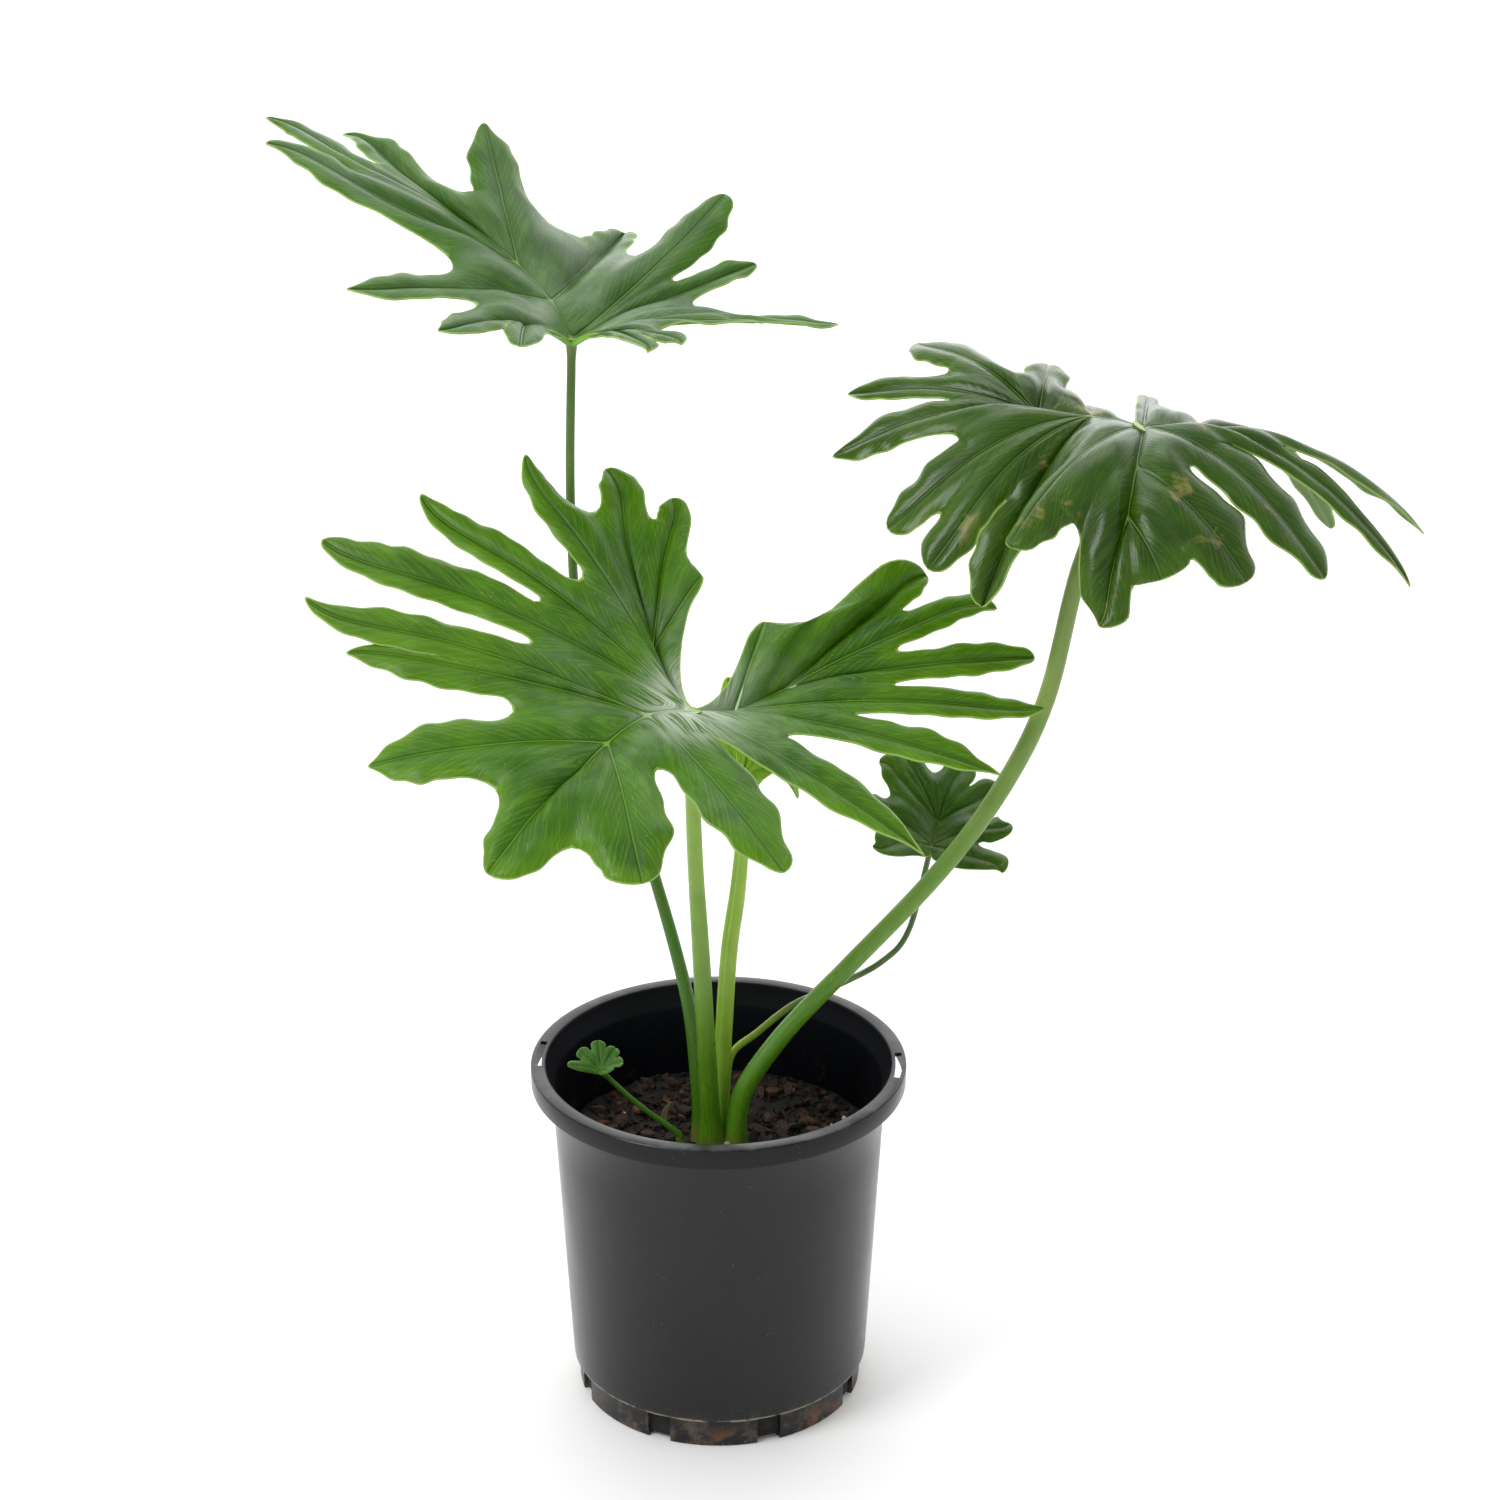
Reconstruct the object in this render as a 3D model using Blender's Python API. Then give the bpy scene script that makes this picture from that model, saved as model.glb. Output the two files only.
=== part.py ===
"""Potted philodendron: a young cut-leaved plant in a round black nursery pot.

The origin is the middle of the pot's underside, +Z is up, and -Y is the side that faces the viewer.
Sizes are in millimetres until mesh_object() turns them into metres.
Every leaf is a fan of lobes. Each lobe has one vein, from a node of a rib to the lobe's tip.
"""

import math
import random
from collections import namedtuple

import bmesh
import bpy
import numpy as np

# ---------------------------------------------------------------- pot
GAP = 0.3  # clearance between pieces that touch
EDGE = 0.5  # the rim's rounded edges, and how much the foot tapers
RIM_RADIUS = 100.0
POT_HEIGHT = 192.0
WALL = 1.8
RIM_LEDGE = 8.0  # flat ring on top of the rim
RIM_SKIRT = 11.0  # height of the outer lip
SHOULDER = 13.0  # depth at which the flared rim meets the wall
SHOULDER_INSET = 11.0  # the wall's outer face, inside the rim's
WALL_DRAFT = 9.0  # how much the wall narrows on its way down
FOOT_HEIGHT = 17.0
FOOT_INSET = 3.0
FLOOR = 2.5
POT_SIDES = 48
NOTCHES = 8
NOTCH_WIDTH = 13.0
NOTCH_DEPTH = 9.0
NOTCH_TURN = 20.5  # degrees from the front to the first drain notch
NOTCH_STEPS = 2
SLOT_LENGTH = 28.0
SLOT_WIDTH = 3.6
SLOT_TURN = -4.0  # degrees from +X to the right hanger slot
SLOT_STEPS = 6

# ---------------------------------------------------------------- potting mix, crown and bark
MIX_BELOW_RIM = 50.0
MIX_ROUGHNESS = 1.2
MIX_RINGS = 7
CROWN_RADIUS = 15.5
CROWN_RISE = 5.0
CROWN_ROOT = 14.0
CROWN_Y = 2.0
CROWN_SIDES = 16
CROWN_TAPER = 0.7  # the buried end, as a share of the crown's radius
CROWN_EDGE = 1.5
CHIPS = 16
CHIP_LENGTH = 15.0
CHIP_THICKNESS = 4.0
CHIP_TURN = 40.0  # degrees from +X to the first chip
CHIP_STEP_TURN = 137.5
CHIP_TILT = 0.15  # steepest slope of a chip
CHIP_CORNERS = 6
CHIP_SEED = 12
STUB_FOOT = (-30, 16)  # an old leaf sheath's dry stub
STUB_HEIGHT = 14.0
STUB_RADIUS = 2.6

# ---------------------------------------------------------------- petioles
# A foot is its place on the crown and its own radius, as shares of the crown's radius. The route
# is measured from the middle of the crown's top. The foot's radius and the radii are spread evenly
# from the foot to the leaf.
Petiole = namedtuple("Petiole", "foot route radii")
PETIOLE_SIDES = 10
PETIOLE_STEPS = 2
BLADE_CLEARANCE = 2.4  # from a petiole's end to the middle of its blade
PETIOLES = {
    "petiole_upper_left": Petiole(
        (-0.58, 0.26, 0.35),
        [(-11, 9, 25), (-17, 24, 68), (-34, 54, 123), (-59, 83, 194), (-75, 102, 244),
         (-79, 114, 319), (-77, 118, 404)],
        (3.6, 2.7, 2.4)),
    "petiole_front": Petiole(
        (-0.26, -0.52, 0.40),
        [(-5, -8, 25), (-9, -4, 108), (-12, 2, 164), (-14, 8, 239)],
        (5.0, 4.2, 3.8)),
    "petiole_right": Petiole(
        (0.52, -0.26, 0.39),
        [(10, -3, 15), (16, 0, 31), (33, 6, 54), (51, 12, 73), (71, 17, 93), (116, 28, 140),
         (149, 38, 184), (172, 45, 233), (187, 49, 303), (205, 49, 355), (216, 48, 379)],
        (4.9, 5.0, 4.1)),
    "petiole_back": Petiole(
        (0.27, 0.76, 0.12),
        [(4, 15, 16), (7, 19, 37), (20, 24, 47), (40, 32, 60), (63, 41, 67), (88, 54, 75),
         (103, 59, 92), (114, 63, 138)],
        (2.0, 1.8, 1.5)),
    "petiole_new": Petiole(
        (0.03, 0.42, 0.22), [(1, 9, 25), (5, 13, 96), (10, 22, 132), (13, 27, 165)],
        (4.8, 4.6, 3.6)),
}
# The seedling grows from the mix. Its route is a share of the way from the crown to the wall, and
# a height above the mix.
SEEDLING_TURN = 185.5  # degrees from +X
SEEDLING_ROUTE = [(0.08, GAP), (0.11, 5), (0.39, 22), (0.66, 42)]
SEEDLING_RADII = (1.9, 1.5, 1.3)

# ---------------------------------------------------------------- leaves
# A lobe's tip is given by its bearing from +X in degrees, and by its reach and rise from the leaf's
# attachment. arch lifts the middle of its vein, left and right are its half widths, join is the
# share of the vein that its web shares with the next lobe, and sweep bows the vein to the left, which
# hooks the tip. point sharpens the tip from 0.5, which is round, and cup turns the free sides up.
Lobe = namedtuple(
    "Lobe", "node bearing reach rise arch left right join sweep point cup", defaults=(0, 0.6, 0)
)
Leaf = namedtuple("Leaf", "petiole ribs lobes")
BLADE_THICKNESS = 1.0
VEIN_STEPS = 6
ACROSS = 2
PUCKER = 0.10  # swelling between two veins, as a share of the space between them
HOOKING = 6  # how near the tip a vein bows
LEAVES = {
    "leaf_front": Leaf(
        "petiole_front",
        {"l": [(-9, 13, 7), (-20, 32, 19)],
         "m": [(-21, -12, 2), (-41, -34, -4), (-58, -56, -14)],
         "r": [(23, 9, -4), (49, 22, 3)]},
        [Lobe("l2", 85, 66, 50, 2, 6, 6, 0.85),
         Lobe("l2", 96, 107, 80, 3, 10, 9, 0.75, -4, 0.8),
         Lobe("l2", 113, 122, 94, 3, 13, 12, 0.72, -6, 1.0),
         Lobe("l1", 132, 131, 108, 3, 10, 9, 0.48, 5, 1.0),
         Lobe("o", 149, 167, 90, 6, 9, 12, 0.46, 7, 0.8),
         Lobe("o", 163, 203, 73, 9, 11, 16, 0.36, 6, 0.6),
         Lobe("m1", 171, 203, 52, 4, 11, 12, 0.44, 8, 1.1),
         Lobe("m1", 178, 178, 29, 5, 15, 10, 0.40, -2, 1.0),
         Lobe("m2", 195, 169, -13, 5, 18, 18, 0.55, 0, 1.4),
         Lobe("m3", 225, 140, -48, 3, 17, 14, 0.74, 0, 1.2),
         Lobe("m2", 259, 112, -48, 4, 20, 19, 0.30),
         Lobe("m1", 297, 107, -49, 5, 21, 18, 0.20, 0, 0.7),
         Lobe("o", 332, 136, -54, 6, 13, 15, 0.32, 0, 1.8),
         Lobe("r1", 352, 162, -27, 5, 12, 12, 0.40, 0, 1.6),
         Lobe("r1", 6, 187, -6, 5, 10, 10, 0.48, -4, 0.9),
         Lobe("r2", 14, 187, 11, 4, 10, 10, 0.48),
         Lobe("r2", 23, 177, 29, 7, 9, 8, 0.68, 6, 0.8),
         Lobe("r2", 34, 152, 43, 3, 17, 11, 0.80, 3, 0.8),
         Lobe("r1", 39, 50, 37, 2, 7, 12, 0)]),
    "leaf_upper_left": Leaf(
        "petiole_upper_left",
        {"r": [(10, -14, 8), (22, -24, 11)],
         "m": [(-11, 15, 17), (-29, 35, 31), (-51, 55, 44)],
         "l": [(-10, -14, 10), (-22, -26, 15)]},
        [Lobe("r2", 300, 83, 14, 3, 7, 7, 0.60, 3, 1.2),
         Lobe("r2", 314, 85, 15, 3, 9, 9, 0.50, 3, 1.2),
         Lobe("r1", 349, 104, 15, 3, 6, 6, 0.72),
         Lobe("r1", 4, 142, 6, 5, 9, 8, 0.52, -5, 1.2),
         Lobe("o", 32, 116, 25, 0, 10, 10, 0.55),
         Lobe("o", 48, 122, 57, -4, 16, 15, 0.64),
         Lobe("m1", 79, 127, 25, -2, 14, 14, 0.55),
         Lobe("m2", 113, 133, 89, -2, 14, 15, 0.48, 0, 1.0),
         Lobe("m3", 135, 187, 79, 0, 13, 12, 0.58, -7, 1.1),
         Lobe("m3", 148, 201, 95, 0, 13, 12, 0.66, -8, 1.1),
         Lobe("m2", 158, 179, 89, 0, 16, 17, 0.36, -7, 1.1),
         Lobe("m1", 193, 118, 35, 3, 14, 14, 0.42, 3, 1.2),
         Lobe("l2", 226, 93, 24, 3, 14, 13, 0.35, 3, 1.0),
         Lobe("l2", 253, 75, 17, 3, 11, 10, 0)]),
    "leaf_right": Leaf(
        "petiole_right",
        {"l": [(-25, 15, 1), (-51, 30, -4)],
         "m": [(-7, -35, -10), (-13, -60, -28)],
         "r": [(25, 5, -2), (50, 15, -11)]},
        [Lobe("l1", 116, 66, -10, 3, 8, 7, 0.65),
         Lobe("l2", 117, 93, 8, 4, 12, 12, 0.50),
         Lobe("l2", 135, 158, 12, 9, 13, 15, 0.55, 3, 0.8),
         Lobe("l2", 151, 171, -8, 9, 9, 9, 0.45, 3, 1.2),
         Lobe("l2", 164, 165, -31, 12, 14, 12, 0.52, 2, 1.0),
         Lobe("l1", 180, 131, -56, 14, 13, 15, 0.80, 2),
         Lobe("l1", 195, 115, -68, 16, 12, 15, 0.62, 2),
         Lobe("l1", 208, 94, -84, 14, 17, 16, 0.45),
         Lobe("o", 223, 100, -42, 15, 18, 15, 0.68),
         Lobe("m2", 252, 94, -76, 3, 13, 13, 0.85, 2, 2.2),
         Lobe("m2", 272, 84, -53, 3, 14, 13, 0.80, 0, 1.2),
         Lobe("m1", 301, 90, -57, 8, 21, 16, 0.32),
         Lobe("o", 331, 103, -66, 17, 19, 19, 0.32),
         Lobe("r1", 357, 142, -86, 20, 11, 11, 0.35, 2, 1.2),
         Lobe("r2", 11, 157, -69, 16, 12, 12, 0.40, -2, 1.2),
         Lobe("r2", 30, 128, -78, 14, 9, 9, 0.40),
         Lobe("r1", 56, 78, -28, 4, 12, 12, 0.50),
         Lobe("o", 82, 72, -6, 3, 6, 6, 0)]),
    "leaf_back": Leaf(
        "petiole_back",
        {"m": [(4, 14, 8)]},
        [Lobe("o", 325, 45, -5, 2, 10, 10, 0.60, 3, 1.2),
         Lobe("o", 7, 43, 11, 2, 9, 9, 0.65, -3, 1.2),
         Lobe("m1", 37, 50, 16, 2, 9, 9, 0.70, 3, 1.2),
         Lobe("m1", 70, 47, 30, 2, 9, 9, 0.70, -3, 1.2),
         Lobe("m1", 107, 48, 40, 2, 9, 9, 0.70, 3, 1.2),
         Lobe("m1", 131, 43, 35, 2, 9, 9, 0.65, -3, 1.2),
         Lobe("o", 165, 41, 24, 2, 10, 10, 0.55, 3, 1.2),
         Lobe("o", 212, 39, 9, 2, 10, 10, 0, 3, 1.2)]),
    "leaf_new": Leaf(
        "petiole_new",
        {"m": [(-2, 4, 22)]},
        [Lobe("m1", 2, 29, 15, 14, 6, 5, 0.45, 0, 0.8, 20),
         Lobe("m1", 60, 20, 58, 2, 6, 6, 0.60, 0, 0.8, 20),
         Lobe("m1", 125, 14, 81, 0, 7, 7, 0.60, 0, 0.8, 20),
         Lobe("m1", 165, 18, 50, 0, 5, 5, 0.60, 0, 0.8, 20),
         Lobe("o", 180, 12, 20, 0, 4, 5, 0, 0, 0.8, 20)]),
    "leaf_seedling": Leaf(
        "petiole_seedling",
        {},
        [Lobe("o", 300, 9, 3, 1, 4, 4, 0.70),
         Lobe("o", 0, 12, 5, 1, 4, 4, 0.70),
         Lobe("o", 50, 12, 9, 1, 4, 4, 0.70),
         Lobe("o", 100, 12, 12, 1, 4, 4, 0.70),
         Lobe("o", 150, 14, 9, 1, 4, 4, 0.70),
         Lobe("o", 190, 18, 5, 1, 3, 3, 0)]),
}

# start of the node's name: (colour, roughness)
LOOKS = {
    "pot": ((0.018, 0.019, 0.022), 0.38),
    "potting_mix": ((0.045, 0.022, 0.014), 0.95),
    "crown": ((0.20, 0.26, 0.07), 0.60),
    "petiole": ((0.17, 0.33, 0.07), 0.45),
    "petiole_new": ((0.36, 0.50, 0.10), 0.45),
    "leaf": ((0.06, 0.19, 0.02), 0.35),
    "leaf_upper_left": ((0.06, 0.14, 0.04), 0.35),
    "leaf_right": ((0.02, 0.09, 0.015), 0.30),
    "leaf_back": ((0.02, 0.09, 0.015), 0.30),
    "leaf_new": ((0.25, 0.42, 0.06), 0.40),
    "old_sheath": ((0.30, 0.20, 0.10), 0.80),
    "bark_chip": ((0.10, 0.045, 0.022), 0.90),
}


# ---------------------------------------------------------------- objects


def material(name):
    """The Principled material of a node, chosen by the longest matching start of its name."""
    kind = max((kind for kind in LOOKS if name.startswith(kind)), key=len)
    colour, roughness = LOOKS[kind]
    made = bpy.data.materials.new(name)
    made.use_nodes = True
    shader = made.node_tree.nodes["Principled BSDF"]
    shader.inputs["Base Color"].default_value = (*colour, 1)
    shader.inputs["Roughness"].default_value = roughness
    shader.inputs["Metallic"].default_value = 0.0
    return made


def mesh_object(name, points, faces, sharp=40):
    """An object from points in millimetres, with its faces turned outwards and shaded smooth."""
    mesh = bpy.data.meshes.new(name)
    mesh.from_pydata((np.array(points, float) * 0.001).tolist(), [], faces)
    tidy = bmesh.new()
    tidy.from_mesh(mesh)
    bmesh.ops.recalc_face_normals(tidy, faces=tidy.faces)
    tidy.to_mesh(mesh)
    tidy.free()
    mesh.shade_smooth()
    mesh.set_sharp_from_angle(angle=math.radians(sharp))
    made = bpy.data.objects.new(name, mesh)
    bpy.context.scene.collection.objects.link(made)
    return made


def piece(name, points, faces, sharp=40):
    """A node of the plant or its pot, with its material."""
    made = mesh_object(name, points, faces, sharp)
    made.data.materials.append(material(name))
    return made


def cut(target, name, points, faces):
    """Cuts a hidden solid out of an object with a Boolean."""
    cutter = mesh_object(name, points, faces)
    cutter.hide_render = True
    cutter.display_type = "WIRE"
    boolean = target.modifiers.new(name, "BOOLEAN")
    boolean.operation = "DIFFERENCE"
    boolean.solver = "EXACT"
    boolean.object = cutter


# ---------------------------------------------------------------- shapes


def smooth_route(points, steps):
    """A Catmull-Rom curve through the points, with so many steps to each span."""
    points = np.array(points, float)
    ends = np.vstack([2 * points[0] - points[1], points, 2 * points[-1] - points[-2]])
    curve = []
    for before, start, end, after in zip(ends, ends[1:], ends[2:], ends[3:]):
        slope = end - before
        bend = 2 * before - 5 * start + 4 * end - after
        turn = 3 * start - before - 3 * end + after
        for t in np.arange(steps) / steps:
            curve.append(start + 0.5 * (slope * t + bend * t**2 + turn * t**3))
    curve.append(points[-1])
    return np.array(curve)


def unit(vector):
    return vector / max(np.linalg.norm(vector), 1e-9)


def turns(count):
    """Evenly spaced angles round a circle, in radians."""
    return np.arange(count) * 2 * math.pi / count


def tube(centres, radii, sides):
    """A capped tube along the centres. Its first ring is level, so that it stands flat."""
    widths = np.interp(np.linspace(0, 1, len(centres)), np.linspace(0, 1, len(radii)), radii)
    across = np.array([1.0, 0, 0])
    points = []
    for i, (centre, width) in enumerate(zip(centres, widths)):
        ahead = centres[min(i + 1, len(centres) - 1)] - centres[max(i - 1, 0)]
        tangent = np.array([0, 0, 1.0]) if i == 0 else unit(ahead)
        across = unit(across - tangent * (across @ tangent))
        other = np.cross(tangent, across)
        for turn in turns(sides):
            points.append(centre + width * (across * math.cos(turn) + other * math.sin(turn)))
    faces = [list(range(sides)), list(range(len(points) - sides, len(points)))]
    for ring in range(len(centres) - 1):
        for k in range(sides):
            low, after = ring * sides + k, ring * sides + (k + 1) % sides
            faces.append([low, after, after + sides, low + sides])
    return points, faces


def turned(profile, sides, y=0.0):
    """A solid turned about a vertical axis at y. The (radius, height) pairs begin and end on it."""
    (_, bottom), *rings, (_, top) = profile
    points = [(0, y, bottom), (0, y, top)]
    for radius, height in rings:
        points += [(radius * math.cos(t), y + radius * math.sin(t), height) for t in turns(sides)]
    faces = []
    last = 2 + (len(rings) - 1) * sides
    for k in range(sides):
        after = (k + 1) % sides
        faces.append([0, 2 + after, 2 + k])
        faces.append([1, last + k, last + after])
        for low in range(2, last, sides):
            faces.append([low + k, low + after, low + sides + after, low + sides + k])
    return points, faces


def curved_block(radii, heights, middle, spread, steps):
    """A block between two radii and two heights, spread evenly about an angle in radians."""
    inner, outer = radii
    low, high = heights
    corners = [(inner, low), (outer, low), (outer, high), (inner, high)]
    points = []
    for turn in np.linspace(middle - spread / 2, middle + spread / 2, steps + 1):
        across, along = math.cos(turn), math.sin(turn)
        points += [(radius * across, radius * along, height) for radius, height in corners]
    faces = [[0, 1, 2, 3], list(range(4 * steps, 4 * steps + 4))]
    for step in range(0, 4 * steps, 4):
        for k in range(4):
            after = (k + 1) % 4
            faces.append([step + k, step + after, step + after + 4, step + k + 4])
    return points, faces


# ---------------------------------------------------------------- pot, mix and crown


def wall_radius(height):
    """Radius of the wall's outer face at a height."""
    share = (POT_HEIGHT - SHOULDER - height) / (POT_HEIGHT - SHOULDER - FOOT_HEIGHT)
    return RIM_RADIUS - SHOULDER_INSET - WALL_DRAFT * share


def foot_radius():
    return wall_radius(FOOT_HEIGHT) - FOOT_INSET


def mix_top():
    return POT_HEIGHT - MIX_BELOW_RIM


def mix_radius():
    return wall_radius(mix_top()) - WALL - GAP


def loose_top():
    """The highest that the mix's rough surface comes, which is where loose pieces lie."""
    return mix_top() + MIX_ROUGHNESS + GAP


def crown_top():
    return mix_top() + CROWN_RISE


def pot_profile():
    shoulder = POT_HEIGHT - SHOULDER
    opening = RIM_RADIUS - RIM_LEDGE
    return [
        (0, FLOOR),
        (foot_radius() - WALL, FLOOR),
        (foot_radius() - WALL, FOOT_HEIGHT - 1),
        (wall_radius(FOOT_HEIGHT) - WALL, FOOT_HEIGHT + 2),
        (wall_radius(shoulder) - WALL, shoulder),
        (opening, POT_HEIGHT - WALL),
        (opening + EDGE, POT_HEIGHT),
        (RIM_RADIUS - EDGE, POT_HEIGHT),
        (RIM_RADIUS, POT_HEIGHT - EDGE),
        (RIM_RADIUS, POT_HEIGHT - RIM_SKIRT),
        (RIM_RADIUS - WALL, POT_HEIGHT - RIM_SKIRT),
        (RIM_RADIUS - WALL, POT_HEIGHT - WALL),
        (opening + WALL, POT_HEIGHT - WALL - 1),
        (wall_radius(shoulder), shoulder),
        (wall_radius(FOOT_HEIGHT), FOOT_HEIGHT),
        (foot_radius(), FOOT_HEIGHT - 1),
        (foot_radius() - EDGE, 0),
        (0, 0),
    ]


def build_pot():
    pot = piece("pot", *turned(pot_profile(), POT_SIDES), sharp=30)
    slot_radius = RIM_RADIUS - WALL - (RIM_LEDGE - 2 * WALL) / 2
    slot_edges = (slot_radius - SLOT_WIDTH / 2, slot_radius + SLOT_WIDTH / 2)
    for k in range(2):
        turn = math.radians(SLOT_TURN) + k * math.pi
        heights = (POT_HEIGHT - RIM_SKIRT / 2, POT_HEIGHT + 1)
        block = curved_block(slot_edges, heights, turn, SLOT_LENGTH / slot_radius, SLOT_STEPS)
        cut(pot, f"slot_{k + 1}", *block)
    notch_edges = (foot_radius() - NOTCH_DEPTH, foot_radius() + FOOT_INSET)
    for k, turn in enumerate(turns(NOTCHES) + math.radians(NOTCH_TURN - 90)):
        heights = (-1, FOOT_HEIGHT - WALL)
        block = curved_block(notch_edges, heights, turn, NOTCH_WIDTH / foot_radius(), NOTCH_STEPS)
        cut(pot, f"notch_{k + 1}", *block)


def build_mix():
    inner_foot = foot_radius() - WALL - GAP
    rim = mix_radius()
    bend = FOOT_HEIGHT + 4
    profile = [
        (0, FLOOR + GAP),
        (inner_foot, FLOOR + GAP),
        (inner_foot, FOOT_HEIGHT),
        (wall_radius(bend) - WALL - GAP, bend),
    ]
    profile += [(rim * (1 - ring / MIX_RINGS), mix_top()) for ring in range(MIX_RINGS)]
    points, faces = turned([*profile, (0, mix_top())], POT_SIDES // 2)
    points = np.array(points)
    loose = (points[:, 2] == mix_top()) & (np.hypot(points[:, 0], points[:, 1]) < rim - 1)
    points[loose, 2] += MIX_ROUGHNESS * np.sin(points[loose, 0] / 7) * np.cos(points[loose, 1] / 6)
    mix = piece("potting_mix", points, faces)
    socket = [
        (0, mix_top() - CROWN_ROOT - GAP),
        (CROWN_RADIUS + GAP, mix_top() - CROWN_ROOT - GAP),
        (CROWN_RADIUS + GAP, crown_top()),
        (0, crown_top()),
    ]
    cut(mix, "crown_socket", *turned(socket, CROWN_SIDES, CROWN_Y))


def build_crown():
    profile = [
        (0, mix_top() - CROWN_ROOT),
        (CROWN_RADIUS * CROWN_TAPER, mix_top() - CROWN_ROOT),
        (CROWN_RADIUS, mix_top() - CROWN_ROOT / 3),
        (CROWN_RADIUS, crown_top() - CROWN_EDGE),
        (CROWN_RADIUS - CROWN_EDGE, crown_top()),
        (0, crown_top()),
    ]
    piece("crown", *turned(profile, CROWN_SIDES, CROWN_Y))


def build_chips():
    """Bark chips spread over the mix like the seeds of a sunflower, clear of the crown and wall."""
    draw = random.Random(CHIP_SEED)
    inner = CROWN_RADIUS + 1.1 * CHIP_LENGTH
    outer = mix_radius() - 0.7 * CHIP_LENGTH
    for k in range(CHIPS):
        radius = math.sqrt(inner**2 + (outer**2 - inner**2) * (k + 0.5) / CHIPS)
        turn = math.radians(CHIP_TURN + CHIP_STEP_TURN * k)
        yaw = draw.uniform(0, math.pi)
        tilt = draw.uniform(-CHIP_TILT, CHIP_TILT)
        long_half = CHIP_LENGTH / 2 * draw.uniform(0.75, 1)
        wide_half = long_half * draw.uniform(0.45, 0.75)
        points = []
        for height, taper in ((0, 0.85), (CHIP_THICKNESS * draw.uniform(0.6, 1), 1.0)):
            for corner in turns(CHIP_CORNERS):
                reach = taper * draw.uniform(0.8, 1)
                x = long_half * reach * math.cos(corner)
                points.append((x, wide_half * reach * math.sin(corner), height + x * tilt))
        points = np.array(points)
        points[:, 2] += loose_top() - points[:, 2].min()
        spin = np.array([[math.cos(yaw), math.sin(yaw)], [-math.sin(yaw), math.cos(yaw)]])
        points[:, :2] = points[:, :2] @ spin
        points[:, 0] += radius * math.cos(turn)
        points[:, 1] += radius * math.sin(turn)
        faces = [list(range(CHIP_CORNERS)), list(range(CHIP_CORNERS, 2 * CHIP_CORNERS))]
        for i in range(CHIP_CORNERS):
            after = (i + 1) % CHIP_CORNERS
            faces.append([i, after, after + CHIP_CORNERS, i + CHIP_CORNERS])
        piece(f"bark_chip_{k + 1:02d}", points, faces, sharp=20)


# ---------------------------------------------------------------- petioles and leaves


def petiole_route(name):
    """The petiole's middle line, from the crown or, for the seedling, from the mix."""
    if name == "petiole_seedling":
        turn = math.radians(SEEDLING_TURN)
        points = []
        for share, height in SEEDLING_ROUTE:
            radius = CROWN_RADIUS + share * (mix_radius() - CROWN_RADIUS)
            points.append((radius * math.cos(turn), radius * math.sin(turn), height))
        floor = mix_top() + MIX_ROUGHNESS
    else:
        x, y, _ = PETIOLES[name].foot
        points = [(x * CROWN_RADIUS, y * CROWN_RADIUS, GAP), *PETIOLES[name].route]
        floor = crown_top()
    return smooth_route(points, PETIOLE_STEPS) + np.array([0, CROWN_Y, floor])


def attachment(name):
    """Where a petiole meets its blade: straight on from its end, across the clearance."""
    route = petiole_route(name)
    return route[-1] + BLADE_CLEARANCE * unit(route[-1] - route[-2])


def build_petioles():
    for name, spec in PETIOLES.items():
        radii = (spec.foot[2] * CROWN_RADIUS, *spec.radii)
        piece(name, *tube(petiole_route(name), radii, PETIOLE_SIDES))
    seedling = "petiole_seedling"
    piece(seedling, *tube(petiole_route(seedling), SEEDLING_RADII, PETIOLE_SIDES))
    foot = np.array([*STUB_FOOT, loose_top()])
    stub = [foot, foot + [1, 0, STUB_HEIGHT * 0.6], foot + [4, 0, STUB_HEIGHT]]
    piece("old_sheath", *tube(stub, (STUB_RADIUS, STUB_RADIUS * 0.8, STUB_RADIUS * 0.4), 8))


def tip_of(lobe):
    turn = math.radians(lobe.bearing)
    return np.array([lobe.reach * math.cos(turn), lobe.reach * math.sin(turn), lobe.rise])


def margin_width(share, point):
    """A lobe's half width from its notch (0) to its tip (1), as a share of the widest."""
    return (0.8 + 0.2 * math.sin(math.pi * min(1, 1.15 * share))) * (1 - share**4) ** point


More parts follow.
